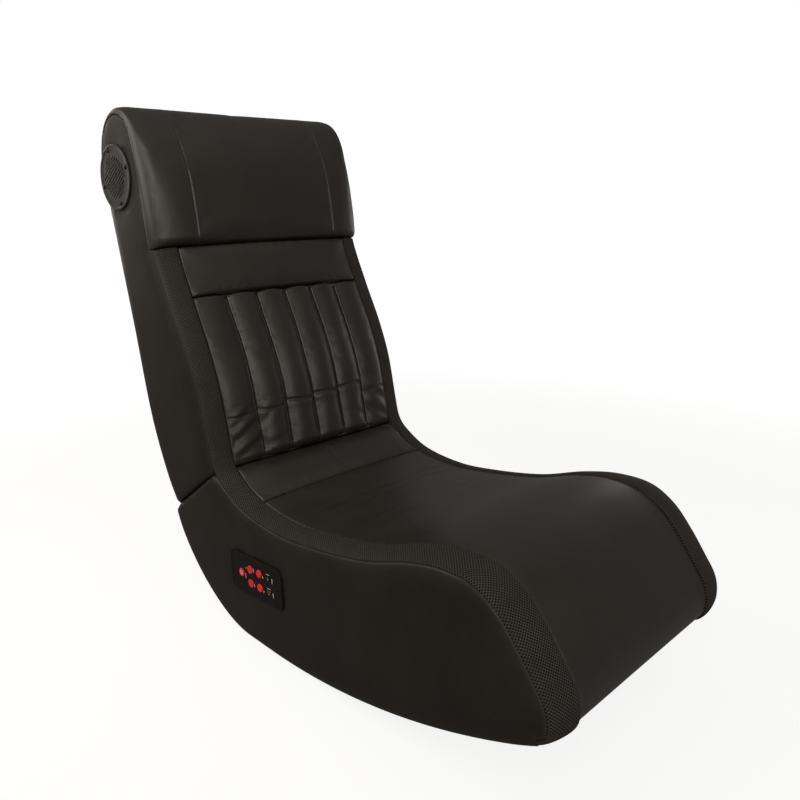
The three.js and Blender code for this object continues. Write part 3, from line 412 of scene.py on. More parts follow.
SEAT_SHARES = [
    (0.0192, 0.1397), (0.0030, 0.1600), (0.0005, 0.1800), (0.0060, 0.2080), (0.0256, 0.2414),
    (0.0512, 0.2806), (0.0800, 0.3160), (0.1180, 0.3400), (0.1716, 0.3425), (0.2271, 0.3290),
    (0.3124, 0.2953), (0.4222, 0.2708), (0.5150, 0.2610), (0.6151, 0.2757), (0.6866, 0.3186),
]
BACK_SHARES = [
    (0.6866, 0.3186), (0.7005, 0.3900), (0.7190, 0.4779), (0.7452, 0.5527), (0.7846, 0.6397),
    (0.8252, 0.7414), (0.8350, 0.8050), (0.8450, 0.8640), (0.8582, 0.9191), (0.8646, 0.9461),
    (0.8763, 0.9718), (0.8934, 0.9902), (0.9158, 0.9994), (0.9382, 0.9975), (0.9584, 0.9865),
    (0.9744, 0.9669), (0.9851, 0.9412), (0.9904, 0.9130), (0.9920, 0.8860),
]
REAR_SHARES = [
    (0.9985, 0.8840), (0.9904, 0.8321), (0.9733, 0.7512), (0.9371, 0.5809), (0.8945, 0.3713),
    (0.8507, 0.2549), (0.8241, 0.2083),
]
SEAT_SPLIT_SHARE, BACK_SPLIT_SHARE = (0.8316, 0.1949), (0.8241, 0.2083)
REST_SHARE, REST_FLAT = 0.5755, 0.056
REAR_ROCKER_SHARES = ((0.436, 0), (0.913, 0.597))


def profile_point(share):
    return np.array([(share[0] - 0.5) * LENGTH + SHIFT, share[1] * HEIGHT])


def spline(points, steps=24):
    """A smooth path through the points."""
    ends = [2 * points[0] - points[1], *points, 2 * points[-1] - points[-2]]
    path = []
    for a, b, c, d in zip(ends, ends[1:], ends[2:], ends[3:]):
        ab, bc, cd = (math.sqrt(np.linalg.norm(q - p)) for p, q in ((a, b), (b, c), (c, d)))
        leave = ((b - a) / ab - (c - a) / (ab + bc) + (c - b) / bc) * bc
        reach = ((c - b) / bc - (d - b) / (bc + cd) + (d - c) / cd) * bc
        for t in np.linspace(0, 1, steps, endpoint=False):
            path.append((2 * t ** 3 - 3 * t ** 2 + 1) * b + (t ** 3 - 2 * t ** 2 + t) * leave
                        + (3 * t ** 2 - 2 * t ** 3) * c + (t ** 3 - t ** 2) * reach)
    return np.array([*path, points[-1]])


def run_lengths(path):
    """Distance along the path at each of its points."""
    return np.concatenate([[0], np.cumsum(np.linalg.norm(np.diff(path, axis=0), axis=1))])


def point_at(path, distances):
    runs = run_lengths(path)
    return np.stack([np.interp(distances, runs, path[:, k]) for k in range(path.shape[1])], axis=-1)


def even(path, step=STEP):
    length = run_lengths(path)[-1]
    return point_at(path, np.linspace(0, length, max(2, round(length / step) + 1)))


seat_path = even(spline([profile_point(share) for share in SEAT_SHARES]))
back_path = even(spline([profile_point(share) for share in BACK_SHARES]))
rear_path = even(spline([profile_point(share) for share in REAR_SHARES]))
crook = seat_path[-1]
seat_split, back_split = profile_point(SEAT_SPLIT_SHARE), profile_point(BACK_SPLIT_SHARE)
for word, path in (("seat", seat_path), ("back", back_path), ("rear", rear_path)):
    print(word, "is", round(run_lengths(path)[-1], 3), "m long")

# %% [markdown]
# The chair rocks on its underside: a flat strip that rests on the floor, a long arc that comes
# up to the nose, and a steeper curve up to the split behind. The solids use a circle and a
# Bezier curve for the two, so the same two are worked out here and the covers lie on the boards.

# %% Underside
def rocker_path():
    """From the rear end of the split, over the flat on the floor, to under the nose."""
    middle = profile_point((REST_SHARE, 0))[0]
    rear_start = np.array([middle + REST_FLAT / 2, 0])
    low, high = (np.array([rear_start[0] + a * (seat_split[0] - rear_start[0]), u * seat_split[1]])
                 for a, u in REAR_ROCKER_SHARES)
    t = np.linspace(0, 1, 80)[:, None]
    rear = ((1 - t) ** 3 * seat_split + 3 * (1 - t) ** 2 * t * high
            + 3 * (1 - t) * t ** 2 * low + t ** 3 * rear_start)
    front_start, nose = middle - REST_FLAT / 2, seat_path[0]
    reach = front_start - nose[0]
    radius = (reach ** 2 + nose[1] ** 2) / (2 * nose[1])
    turn = np.linspace(0, math.asin(reach / radius), 80)
    front = np.stack([front_start - radius * np.sin(turn), radius * (1 - np.cos(turn))], axis=-1)
    return even(np.concatenate([rear, front]))


bottom_path = rocker_path()
print("underside", round(run_lengths(bottom_path)[-1], 3), "lowest", round(bottom_path[:, 1].min(), 4))

# %% [markdown]
# A rail is that path with a direction square to it at each point, so a cushion's section can
# be given as distances across and above it. Near the fold the directions lean over to the line
# that halves the corner, so the seat's and the backrest's cushions meet there and don't cross.

# %% Rails
def smooth_share(value, low, high):
    share = np.clip((value - low) / (high - low), 0, 1)
    return share * share * (3 - 2 * share)


def round_off(distance, radius):
    """Quarter round: 0 at an edge and 1 from one radius on."""
    share = np.clip(np.asarray(distance) / radius, 0, 1)
    return np.sqrt(1 - (1 - share) ** 2)


class Rail:
    """Points of a path, with the distance along it and the direction square to it."""

    def __init__(self, path):
        self.at, self.along = path, run_lengths(path)
        runs = np.gradient(path, axis=0)
        runs /= np.linalg.norm(runs, axis=1)[:, None]
        self.up = np.stack([-runs[:, 1], runs[:, 0]], axis=-1)
        self.length = self.along[-1]

    def lean(self, end, way, reach):
        """Leans the directions near one end over to a unit vector, stretched to keep the height."""
        share = (1 - smooth_share(np.abs(self.along - end), 0, reach))[:, None]
        stretched = way / (self.up @ way)[:, None]
        self.up = self.up * (1 - share) + stretched * share
        return self

    def at_height(self, height):
        above = np.argmax(self.at[:, 1] >= height)
        return float(np.interp(height, self.at[above - 1:above + 1, 1], self.along[above - 1:above + 1]))

    def at_place(self, place):
        last = np.nonzero(self.at[:, 0] < place)[0][-1]
        return float(np.interp(place, self.at[last:last + 2, 0], self.along[last:last + 2]))

    def place(self, along, height):
        """Points in the side plane at distances along the rail and heights over it."""
        at = point_at(self.at, along)
        up = np.stack([np.interp(along, self.along, self.up[:, k]) for k in (0, 1)], axis=-1)
        return at + up * np.asarray(height)[..., None]


seat_end_run = seat_path[-1] - seat_path[-3]
back_start_run = back_path[2] - back_path[0]
fold_way = np.array([-seat_end_run[1], seat_end_run[0]]) / np.linalg.norm(seat_end_run) \
    + np.array([-back_start_run[1], back_start_run[0]]) / np.linalg.norm(back_start_run)
fold_way /= np.linalg.norm(fold_way)
FOLD_LEAN = 0.05
seat_rail = Rail(seat_path)
seat_rail.lean(seat_rail.length, fold_way, FOLD_LEAN)
back_rail = Rail(back_path).lean(0, fold_way, FOLD_LEAN)
head_seam = back_rail.at_height(0.7414 * HEIGHT)
channel_top = back_rail.at_height(0.645 * HEIGHT)
crease_line = back_rail.at_height(0.423 * HEIGHT)
rear_seam = seat_rail.at_place(profile_point((0.6, 0))[0])
print("seams at", [round(v, 3) for v in (rear_seam, crease_line, channel_top, head_seam)])

# %% [markdown]
# A padded piece starts as a closed form: sections across the chair, joined along a rail, with
# a flat bottom on the board. Its upper side is a little low at first. Cloth simulation then
# fills it: the sewn edges and the bottom are held, a light pressure lifts what is free, and a
# cap keeps the fabric where the real foam would stop it. One subdivision smooths the result.
# Each corner keeps two numbers in its UV map, metres across and along, so that seams, creases
# and the knit of the mesh can find their place on the bent surface.

# %% Helpers for meshes
GAP = 0.0003


def alone(piece):
    """Selects one piece only, because an operator acts on all that is selected."""
    bpy.ops.object.select_all(action="DESELECT")
    piece.select_set(True)
    bpy.context.view_layer.objects.active = piece
    return piece


def apply_modifiers(piece):
    alone(piece)
    for modifier in list(piece.modifiers):
        bpy.ops.object.modifier_apply(modifier=modifier.name)
    return piece


def corners_of(piece, what="co"):
    values = np.empty(len(piece.data.vertices) * 3, np.float32)
    piece.data.vertices.foreach_get(what, values)
    return values.reshape(-1, 3).astype(float)


def move_corners(piece, points):
    piece.data.vertices.foreach_set("co", np.asarray(points, np.float32).ravel())
    piece.data.update()


def new_piece(name, points, faces, spots=None, held=None, wear_and_highlight=None):
    """An object with a mesh, its UV map, the group that a simulation holds, and its worn edges with their
    painted highlight.
    """
    mesh = bpy.data.meshes.new(name)
    mesh.from_pydata([tuple(p) for p in points], [], faces)
    if spots is not None:
        layer = mesh.uv_layers.new(name="UVMap")
        order = np.empty(len(mesh.loops), np.int32)
        mesh.loops.foreach_get("vertex_index", order)
        layer.data.foreach_set("uv", np.asarray(spots, np.float32)[order].ravel())
    piece = bpy.data.objects.new(name, mesh)
    scene.collection.objects.link(piece)
    if held is not None:
        group = piece.vertex_groups.new(name="held")
        for weight in np.unique(held):
            if weight > 0:
                group.add([int(i) for i in np.nonzero(held == weight)[0]], float(weight), "REPLACE")
    set_wear_and_highlight(piece, np.zeros(len(points)) if wear_and_highlight is None else wear_and_highlight)
    return piece


def set_wear_and_highlight(piece, wear_and_highlight):
    data = piece.data.attributes.get("wear_and_highlight") or piece.data.attributes.new("wear_and_highlight", "FLOAT", "POINT")
    data.data.foreach_set("value", np.asarray(wear_and_highlight, np.float32))


def spots_of(piece):
    """Metres across and along at each corner, read back from the UV map."""
    mesh = piece.data
    order = np.empty(len(mesh.loops), np.int32)
    mesh.loops.foreach_get("vertex_index", order)
    uv = np.empty(len(mesh.loops) * 2, np.float32)
    mesh.uv_layers["UVMap"].data.foreach_get("uv", uv)
    spots = np.zeros((len(mesh.vertices), 2))
    spots[order] = uv.reshape(-1, 2)
    return spots[:, 0], spots[:, 1]


def swept(name, places, across, along, held, wear_and_highlight=None):
    """Closed sections joined along the chair: arrays have one row per section."""
    rows, columns = across.shape
    points = np.stack([across, places[..., 0], places[..., 1]], axis=-1).reshape(-1, 3)
    faces = []
    for i in range(rows - 1):
        for j in range(columns):
            a, b = i * columns + j, i * columns + (j + 1) % columns
            faces.append((a, b, b + columns, a + columns))
    faces.append(tuple(range(columns))[::-1])
    faces.append(tuple(range((rows - 1) * columns, rows * columns)))
    spots = np.stack([across, np.broadcast_to(along[:, None], across.shape)], axis=-1).reshape(-1, 2)
    piece = new_piece(name, points, faces, spots, np.asarray(held, float).ravel(),
                      None if wear_and_highlight is None else np.asarray(wear_and_highlight).ravel())
    face_outwards(piece)
    return piece


def face_outwards(piece):
    """Turns all faces outwards, judged by the sign of the enclosed volume."""
    mesh = bmesh.new()
    mesh.from_mesh(piece.data)
    bmesh.ops.recalc_face_normals(mesh, faces=mesh.faces)
    if mesh.calc_volume(signed=True) < 0:
        bmesh.ops.reverse_faces(mesh, faces=mesh.faces)
    mesh.to_mesh(piece.data)
    mesh.free()


def inflate(piece, pressure, cap, growth=0.0, last_frame=20, stiffness=15):
    """Fills a padded piece: what isn't held moves out by at most the cap."""
    start = corners_of(piece)
    cloth = alone(piece).modifiers.new("filling", "CLOTH")
    settings = cloth.settings
    settings.quality = 5
    settings.tension_stiffness = settings.compression_stiffness = stiffness
    settings.bending_stiffness = 0.6
    settings.vertex_group_mass = "held"
    settings.use_pressure = True
    settings.uniform_pressure_force = pressure
    settings.shrink_min = -growth
    settings.effector_weights.gravity = 0
    cloth.collision_settings.use_collision = False
    cloth.point_cache.frame_end = last_frame
    for number in range(1, last_frame + 1):
        scene.frame_set(number)
    apply_modifiers(piece)
    scene.frame_set(1)
    moved = corners_of(piece) - start
    length = np.linalg.norm(moved, axis=1)[:, None]
    capped = cap * np.tanh(length / cap) / np.maximum(length, 1e-9)
    move_corners(piece, start + moved * np.where(length > 1e-9, capped, 1))
    print(piece.name, "filled by up to", round(float(length.max()) / MM, 1), "mm")
    return piece


def refine(piece, levels=1):
    modifier = piece.modifiers.new("refine", "SUBSURF")
    modifier.levels = modifier.render_levels = levels
    modifier.boundary_smooth = "PRESERVE_CORNERS"
    return apply_modifiers(piece)


def emboss(piece, height_at):
    """Moves each corner along its own normal by a height given for its place."""
    heights = height_at(*spots_of(piece))
    move_corners(piece, corners_of(piece) + corners_of(piece, "normal") * heights[:, None])
    return piece


def finish_soft(piece, finish, body, nodes):
    piece.data.materials.append(finish.material)
    alone(piece)
    bpy.ops.object.shade_smooth()
    group = piece.vertex_groups.get("held")
    if group:
        piece.vertex_groups.remove(group)
    if isinstance(body, str):
        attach(piece, body)
    else:
        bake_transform(piece)
    if nodes:
        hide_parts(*nodes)
    print(piece.name, len(piece.data.vertices), "corners")
    return piece


def steps_between(start, end, step, close=()):
    """Even steps, with closer ones round some places: (place, reach, step)."""
    values = list(np.linspace(start, end, max(2, round((end - start) / step) + 1)))
    for place, reach, near_step in close:
        values = [v for v in values if abs(v - place) > reach or v in (start, end)]
        count = round(2 * reach / near_step) + 1
        values += [v for v in np.linspace(place - reach, place + reach, count) if start < v < end]
    values = sorted(values)
    kept = [values[0]]
    for value in values[1:]:
        if value - kept[-1] > 0.0004:
            kept.append(value)
    kept[-1] = values[-1]
    return np.array(kept)


def waves(points, scale, seed=0.0):
    """Smooth noise between -1 and 1 at 3D points."""
    return np.array([noise.noise(Vector((p[0] * scale + seed, p[1] * scale, p[2] * scale))) for p in points])


print("mesh helpers ready")

# %% [markdown]
# The measures that all cushions share, at each distance along the seat and the backrest: how
# deep the foam is, how wide the mesh bands beside it are, and how far it stands up.

# %% Measures along the chair
NOSE_DEPTH, PAD_DEPTH, NOSE_TAPER = 0.008, 0.025, 0.150
NOSE_BAND, BACK_BAND = 0.056, 0.040
EDGE_HEIGHT = 0.011  # of a cushion beside its band
SEAM_HEIGHT = 0.0035  # of the sewn line between cushion and band
SEAT_RISE, BACK_RISE = 0.005, 0.011
FRAME_OUTER = HALF - 0.012 - GAP


def seat_band(along):
    return NOSE_BAND + (BACK_BAND - NOSE_BAND) * smooth_share(along, NOSE_TAPER, 0.6 * seat_rail.length)


def seat_depth(along):
    return NOSE_DEPTH + (PAD_DEPTH - NOSE_DEPTH) * smooth_share(along, 0, NOSE_TAPER)


def seat_rise(along):
    return SEAT_RISE * smooth_share(along, 0, NOSE_TAPER)


def cushion(name, rail, stations, shares, band, depth, rise, edge_height, ends, side_round=0.007, low=0.0):
    """A cushion between the two mesh bands, ready to be filled.
    shares are its columns from -1 to 1; low is how far its free upper side starts too low."""
    reach = HALF - band(stations) - GAP
    start, end = stations[0], stations[-1]
    inset = reach[:, None] * (1 - np.abs(shares)[None, :])
    edge = np.broadcast_to(edge_height, stations.shape)[:, None]
    full = edge + rise(stations)[:, None] * (1 - np.abs(shares)[None, :] ** 2.5)
    rounding = round_off(inset, side_round) * round_off(stations - start, ends[0])[:, None] \
        * round_off(end - stations, ends[1])[:, None]
    top = SEAM_HEIGHT + (full - SEAM_HEIGHT - low) * rounding
    bottom = -depth(stations)
    across = np.concatenate([-reach[:, None], reach[:, None] * shares[None, :], reach[:, None]], axis=1)
    heights = np.concatenate([bottom[:, None], top, bottom[:, None]], axis=1)
    held = np.ones_like(heights)
    free = (inset > 0.002) & ((stations > start + 0.002) & (stations < end - 0.002))[:, None]
    held[:, 1:-1] = np.where(free, 0, 1)
    wear_and_highlight = np.zeros_like(heights)
    # painted highlight along both sides of the cushion, with smoother film there
    wear_and_highlight[:, 1:-1] = np.exp(-((inset - 0.003) / 0.003) ** 2) * 0.45
    places = rail.place(np.broadcast_to(stations[:, None], heights.shape), heights)
    return swept(name, places, across, stations, held, wear_and_highlight)


def even_shares(reach, step=0.006, edge=0.010, edge_step=0.0022):
    """Columns across a cushion, closer near its two sides."""
    places = steps_between(-reach, reach, step, [(-reach, edge, edge_step), (reach, edge, edge_step)])
    return places / reach


FOLD_BLEND = ((0, 0.127, 0.222), (0, 0.2015, 0.323))
seat_reach = HALF - NOSE_BAND - GAP
print("fold blends from", FOLD_BLEND[0][1:], "to", FOLD_BLEND[1][1:])

# %% [markdown]
# The seat cushion is one smooth leatherette panel over thick foam. It rolls over the nose of
# the seat and under it, dips where the sitter's thighs go, and ends at a sewn seam in front of
# the pad by the fold. It has no sharp wrinkles: its film only stands in broad, shallow waves.

# %% Seat cushion
stations = steps_between(0, rear_seam - GAP / 2, 0.006, [(0, 0.012, 0.002), (rear_seam, 0.012, 0.002)])
seat_edge = 0.0060 + 0.0040 * smooth_share(stations, 0.12, 0.45)  # flat beside the bands at the nose
seat_cushion = cushion("seat_cushion_leather", seat_rail, stations, even_shares(seat_reach), seat_band,
                       seat_depth, seat_rise, seat_edge, (0.009, 0.006), side_round=0.016, low=0.0025)
inflate(seat_cushion, pressure=3.0, cap=0.0035)
refine(seat_cushion)


def seat_surface(u, v):
    spots = np.stack([u * 5, v * 3.2, np.zeros_like(u)], axis=-1)
    inner = smooth_share(seat_reach - np.abs(u), 0.004, 0.05) * smooth_share(v, 0.01, 0.06)
    return inner * (waves(spots, 1.6, 3.0) * 0.0007)


emboss(seat_cushion, seat_surface)
finish_soft(seat_cushion, pad_leather, "seat", ["seat_cushion"])

# %% [markdown]
# Behind it lies a narrow pad by the fold. The seam between the two is a plain one: both films
# dip into it, and the line shows by its shadow.

# %% Rear pad of the seat
FOLD_END = 0.0006
stations = steps_between(rear_seam + GAP / 2, seat_rail.length - FOLD_END, 0.005,
                         [(rear_seam, 0.012, 0.002), (seat_rail.length, 0.012, 0.002)])
rear_shares = even_shares(HALF - BACK_BAND - GAP)
rear_pad = cushion("seat_rear_pad_leather", seat_rail, stations, rear_shares, seat_band,
                   seat_depth, seat_rise, EDGE_HEIGHT, (0.007, 0.014), low=0.004)
inflate(rear_pad, pressure=3.5, cap=0.0055, growth=0.006)
refine(rear_pad)


def rear_surface(u, v):
    spots = np.stack([u * 4, v * 9, np.zeros_like(u)], axis=-1)
    inner = smooth_share(HALF - BACK_BAND - np.abs(u), 0.004, 0.04)
    return inner * waves(spots, 1.7, 21.0) * 0.0012


emboss(rear_pad, rear_surface)
finish_soft(rear_pad, pad_leather, FOLD_BLEND, ["seat_rear_pad"])

# %% [markdown]
# The backrest's lower cushion is sewn into six upright channels. Each one is a small bolster:
# round between its seams, and pulled in hard where the thread holds it. The channels could be
# bumps in a material, but their outline shows against the light, so they are formed here and
# then filled with the seams held. A crease runs across them where the back bends, and the
# outer ones wrinkle where the cushion tucks into the fold.

# %% Channel cushion
CHANNELS = 6
CHANNEL_DIP = 0.0100
channel_reach = HALF - BACK_BAND - GAP
channel_width = 2 * channel_reach / CHANNELS


def back_band(along):
    return np.full_like(along, BACK_BAND)


def back_depth(along):
    return np.full_like(along, PAD_DEPTH)


def back_rise(along):
    return np.full_like(along, BACK_RISE)


def seam_line(number, along):
    """Where one seam runs: straight, but for the small wander of hand sewing."""
    return (2 * number / CHANNELS - 1) * channel_reach + 0.0006 * np.sin(along * 31 + number * 2.1)


across_channel = np.array([0, 0.014, 0.030, 0.052, 0.080, 0.13, 0.21, 0.35, 0.5,
                           0.65, 0.79, 0.88, 0.932, 0.958, 0.978, 0.991])
shares = np.concatenate([(-1 + 2 * (n + across_channel) / CHANNELS) for n in range(CHANNELS)] + [[1.0]])
stations = steps_between(FOLD_END, channel_top - GAP / 2, 0.005,
                         [(0, 0.014, 0.002), (crease_line, 0.012, 0.0024), (channel_top, 0.010, 0.002)])
channel_pad = cushion("back_channel_pad_leather", back_rail, stations, shares, back_band, back_depth,
                      back_rise, EDGE_HEIGHT, (0.012, 0.006), side_round=0.013, low=0.003)


def channel_share(u, v):
    """0 on a seam between two channels and 1 in the middle of a channel."""
    nearest = np.min([np.abs(u - seam_line(number, v)) for number in range(1, CHANNELS)], axis=0)
    return np.clip(nearest / (channel_width / 2), 0, 1)


def channel_form(u, v):
    share = channel_share(u, v)
    inner = smooth_share(v, 0, 0.012) * smooth_share(channel_top - v, 0, 0.006)
    return np.where(np.abs(u) < channel_reach * 0.999,
                    -CHANNEL_DIP * (1 - (1 - (1 - share) ** 2.3) ** 0.75) * (0.35 + 0.65 * inner), 0)


def hold_seams(piece, width=0.0022):
    u, v = spots_of(piece)
    held = piece.vertex_groups["held"]
    near = channel_share(u, v) * channel_width / 2 < width
    held.add([int(i) for i in np.nonzero(near)[0]], 1.0, "REPLACE")


heights = channel_form(*spots_of(channel_pad))
flat_form = corners_of(channel_pad)
is_bottom = np.zeros(len(flat_form), bool).reshape(len(stations), -1)
is_bottom[:, [0, -1]] = True
heights[is_bottom.ravel()] = 0
move_corners(channel_pad, flat_form + corners_of(channel_pad, "normal") * heights[:, None])
hold_seams(channel_pad)
inflate(channel_pad, pressure=4.0, cap=0.0030, growth=0.004)
refine(channel_pad)


def line_share(u, v, ends, width, taper=0.010):
    """1 on a short line between two spots, falling to 0 over a width and at the line's ends."""
    (u0, v0), (u1, v1) = ends
    run = np.array([u1 - u0, v1 - v0])
    length = np.linalg.norm(run)
    run /= length
    forward = (u - u0) * run[0] + (v - v0) * run[1]
    aside = (u - u0) * -run[1] + (v - v0) * run[0]
    inside = smooth_share(forward, -taper, taper) * smooth_share(length - forward, -taper, taper)
    return np.exp(-(aside / width) ** 2) * inside


# Short creases over the tuck at the fold: ends across and along, width, depth
TUCK_CREASES = [
    (((-0.166, 0.062), (-0.128, 0.092)), 0.0065, 0.0020),
    (((-0.172, 0.036), (-0.122, 0.066)), 0.0080, 0.0026),
    (((-0.168, 0.008), (-0.118, 0.034)), 0.0085, 0.0026),
    (((-0.114, 0.058), (-0.090, 0.084)), 0.0060, 0.0013),
    (((-0.110, 0.018), (-0.072, 0.030)), 0.0080, 0.0008),
    (((0.168, 0.052), (0.128, 0.078)), 0.0065, 0.0020),
    (((0.166, 0.018), (0.122, 0.044)), 0.0080, 0.0022),
    (((0.110, 0.030), (0.078, 0.046)), 0.0070, 0.0010),
]
# The crease across each channel: how far over the shared line it lies, and how deep it is
CREASE_OFFSETS = (-0.0065, -0.004, 0.001, 0.003, 0.0055, -0.012)
CREASE_DEPTHS = (0.0015, 0.0014, 0.0019, 0.0020, 0.0019, 0.0014)


def channel_surface(u, v):
    number = np.clip(((u / channel_reach + 1) / 2 * CHANNELS).astype(int), 0, CHANNELS - 1)
    inside = channel_share(u, v)
    at = crease_line + np.array(CREASE_OFFSETS)[number] + 0.0015 * np.sin(u * 90)
    crease = np.array(CREASE_DEPTHS)[number] * (np.exp(-((v - at) / 0.0026) ** 2)
                                                 - 0.30 * np.exp(-((v - at + 0.0075) / 0.006) ** 2))
    tucks = sum(depth * (line_share(u, v, ends, width) - 0.4 * line_share(u, v - width * 2, ends, width))
                for ends, width, depth in TUCK_CREASES)
    spots = np.stack([u * 9, v * 4, np.zeros_like(u)], axis=-1)
    soft = waves(spots, 1.2, 5.0) * 0.0003
    away = inside * channel_width / 2
    puckers = 0.00002 * np.sin(v * 2 * np.pi / 0.007 + number) * np.exp(-(inside / 0.12) ** 2)
    thread = 0.0018 * np.exp(-(away / 0.0010) ** 2) - 0.0004 * np.exp(-((away - 0.0030) / 0.0014) ** 2)
    reach = smooth_share(channel_reach - np.abs(u), 0.001, 0.006)
    return reach * (soft * smooth_share(inside, 0, 0.3) - crease * (0.5 + 0.5 * smooth_share(inside, 0, 0.3))
                    - tucks + puckers - thread)


emboss(channel_pad, channel_surface)
u, v = spots_of(channel_pad)
# painted highlight beside each seam, with smoother film there
set_wear_and_highlight(channel_pad, np.exp(-((channel_share(u, v) * channel_width / 2 - 0.0028) / 0.0013) ** 2) * 0.9)
finish_soft(channel_pad, pad_leather, FOLD_BLEND, ["back_channel_pad"])

# %% [markdown]
# Over the channels lies a plain panel, a low cushion with its four edges sewn down. It is made
# as the seat's cushion is.

# %% Upper pad
stations = steps_between(channel_top + GAP / 2, head_seam - GAP / 2, 0.005,
                         [(channel_top, 0.010, 0.002), (head_seam, 0.008, 0.002)])
upper_pad = cushion("back_upper_pad_leather", back_rail, stations, even_shares(channel_reach), back_band,
                    back_depth, back_rise, EDGE_HEIGHT, (0.006, 0.004), side_round=0.011, low=0.004)
inflate(upper_pad, pressure=3.5, cap=0.005, growth=0.004)
refine(upper_pad)


def upper_surface(u, v):
    spots = np.stack([u * 5, v * 5, np.zeros_like(u)], axis=-1)
    return smooth_share(channel_reach - np.abs(u), 0.004, 0.04) * waves(spots, 1.5, 31.0) * 0.0010


emboss(upper_pad, upper_surface)
finish_soft(upper_pad, pad_leather, "backrest", ["back_upper_pad"])

# %% [markdown]
# The headrest is a thick pillow whose skin goes on over the top of the chair. Its lower edge is
# tucked in and throws a shadow, and two upright seams divide its front. It could be a box with
# rounded edges, but a pillow is full in its middle and falls off to its sides, and this one
# thins out towards the top. So its thickness is worked out along the rail and across the chair.

# %% Headrest
HEAD_FRONT, HEAD_TOP, FLAP_DEPTH = 0.023, 0.009, 0.004
HEAD_TOP_SHARE = 0.62
HEAD_CORNER = 0.0190  # radius of its sides' edges
HEAD_SLOPE = 0.046  # how far its front slopes beside them
HEAD_SEAM_PLACE = 0.142
HEAD_ROUNDING = 0.016
HEAD_SIDE = 0.016  # how far the headrest's sides reach back, where the side panels meet them
VALLEY = 0.0004  # how deep both dip where they meet
head_length = back_rail.length - head_seam


def head_sizes(along):
    share = (along - head_seam) / head_length
    flap = smooth_share(share, HEAD_TOP_SHARE, 1)
    front = HEAD_FRONT + (HEAD_TOP - HEAD_FRONT) * smooth_share(share, 0.3, 0.55)
    side = HEAD_SIDE + (FLAP_DEPTH - HEAD_SIDE) * smooth_share(share, 0.28, HEAD_TOP_SHARE)
    return PAD_DEPTH + (FLAP_DEPTH - PAD_DEPTH) * flap, front * (1 - flap), side


stations = steps_between(head_seam + GAP / 2, back_rail.length, 0.006, [(head_seam, 0.018, 0.0025)])
closer = [(place, reach, step) for reach, step in ((0.030, 0.003), (0.009, 0.0013))
          for place in (-HALF, HALF)]
closer += [(place, 0.006, 0.0015) for place in (-HEAD_SEAM_PLACE, HEAD_SEAM_PLACE)]
columns = steps_between(-HALF, HALF, 0.007, closer)
depth, rise, side_depth = head_sizes(stations)
raised = rise * round_off(stations - head_seam, HEAD_ROUNDING)
thickness = (side_depth + raised)[:, None]
fullness = np.clip(thickness / (HEAD_SIDE + HEAD_FRONT), 0.2, 1)
inset = HALF - np.abs(columns)[None, :]
slope = 1 - (1 - np.clip(inset / (0.008 + HEAD_SLOPE * fullness), 0, 1)) ** 2
up_share = 0.28 + 0.36 * round_off(inset, HEAD_CORNER * fullness) + 0.30 * slope \
    + 0.06 * (1 - (columns[None, :] / HALF) ** 2)
top = thickness * up_share - side_depth[:, None]
side_heights = np.array([0.0, 0.06, 0.14, 0.22])
side_insets = VALLEY * np.array([1.0, 0.72, 0.34, 0.08])
left = np.concatenate([[-FRAME_OUTER, -FRAME_OUTER], -HALF + side_insets])
across = np.concatenate([left, columns, -left[::-1]])[None, :].repeat(len(stations), axis=0)
pull = 0.0035 * np.exp(-(stations - head_seam) / 0.014)[:, None]  # its lower corners are drawn in
drawn = np.concatenate([[0, 0, 0, 0.1, 0.4, 0.7], np.ones(len(columns)), [0.7, 0.4, 0.1, 0, 0, 0]])[None, :]
across = across * (1 - pull * drawn / HALF)
sides = thickness * side_heights[None, :] - side_depth[:, None]
back_side = np.stack([-depth, -side_depth - 0.0002], axis=1)
heights = np.concatenate([back_side, sides, top, sides[:, ::-1], back_side[:, ::-1]], axis=1)
places = back_rail.place(np.broadcast_to(stations[:, None], heights.shape), heights)
held = np.ones_like(heights)
middle = np.abs(across) < HALF - 0.004
held[middle & (stations > head_seam + 0.006)[:, None] & (stations < back_rail.length - 0.01)[:, None]] = 0
held[np.abs(np.abs(across) - HEAD_SEAM_PLACE) < 0.0008] = 1
headrest = swept("headrest_leather", places, across, stations, held)
inflate(headrest, pressure=3.0, cap=0.004, growth=0.001)
refine(headrest)


def head_surface(u, v):
    aside = np.abs(np.abs(u) - HEAD_SEAM_PLACE)
    top_side = np.abs(u) < HALF - 0.006
    seam = 0.0010 * np.exp(-(aside / 0.0010) ** 2) - 0.00025 * np.exp(-((aside - 0.0030) / 0.0020) ** 2)
    spots = np.stack([u * 4, v * 4, np.zeros_like(u)], axis=-1)
    soft = waves(spots, 1.5, 41.0) * 0.0011 + waves(spots, 5, 44.0) * 0.0001
    run = smooth_share(v, head_seam + 0.012, head_seam + 0.05) \
        * smooth_share(back_rail.length - v, 0.012, 0.06) * smooth_share(HALF - np.abs(u), 0.002, 0.04)
    return np.where(top_side, soft * run - seam, 0)


emboss(headrest, head_surface)
u, v = spots_of(headrest)
aside = np.abs(np.abs(u) - HEAD_SEAM_PLACE)
# painted highlights beside the two seams and along the sides of the lower half, with smoother film there
seam_wear_and_highlight = 0.7 * np.exp(-((aside - 0.0016) / 0.0010) ** 2)
side_wear_and_highlight = 0.15 * np.exp(-((HALF - np.abs(u) - 0.008) / 0.010) ** 2)
side_wear_and_highlight *= smooth_share(head_seam + 0.55 * head_length - v, 0, 0.1)
set_wear_and_highlight(headrest, seam_wear_and_highlight + side_wear_and_highlight)
finish_soft(headrest, pad_leather, "backrest", ["headrest_pad"])

# %% [markdown]
# The mesh bands run beside the cushions in one length from the nose of the seat, through the
# fold, to the headrest. The band is fabric over a strip of foam: it is highest beside the
# cushion and comes down to the edge of the side panel. It is one sweep and not two, because the
# real band has no seam at the fold and simply bends there when the chair is folded.

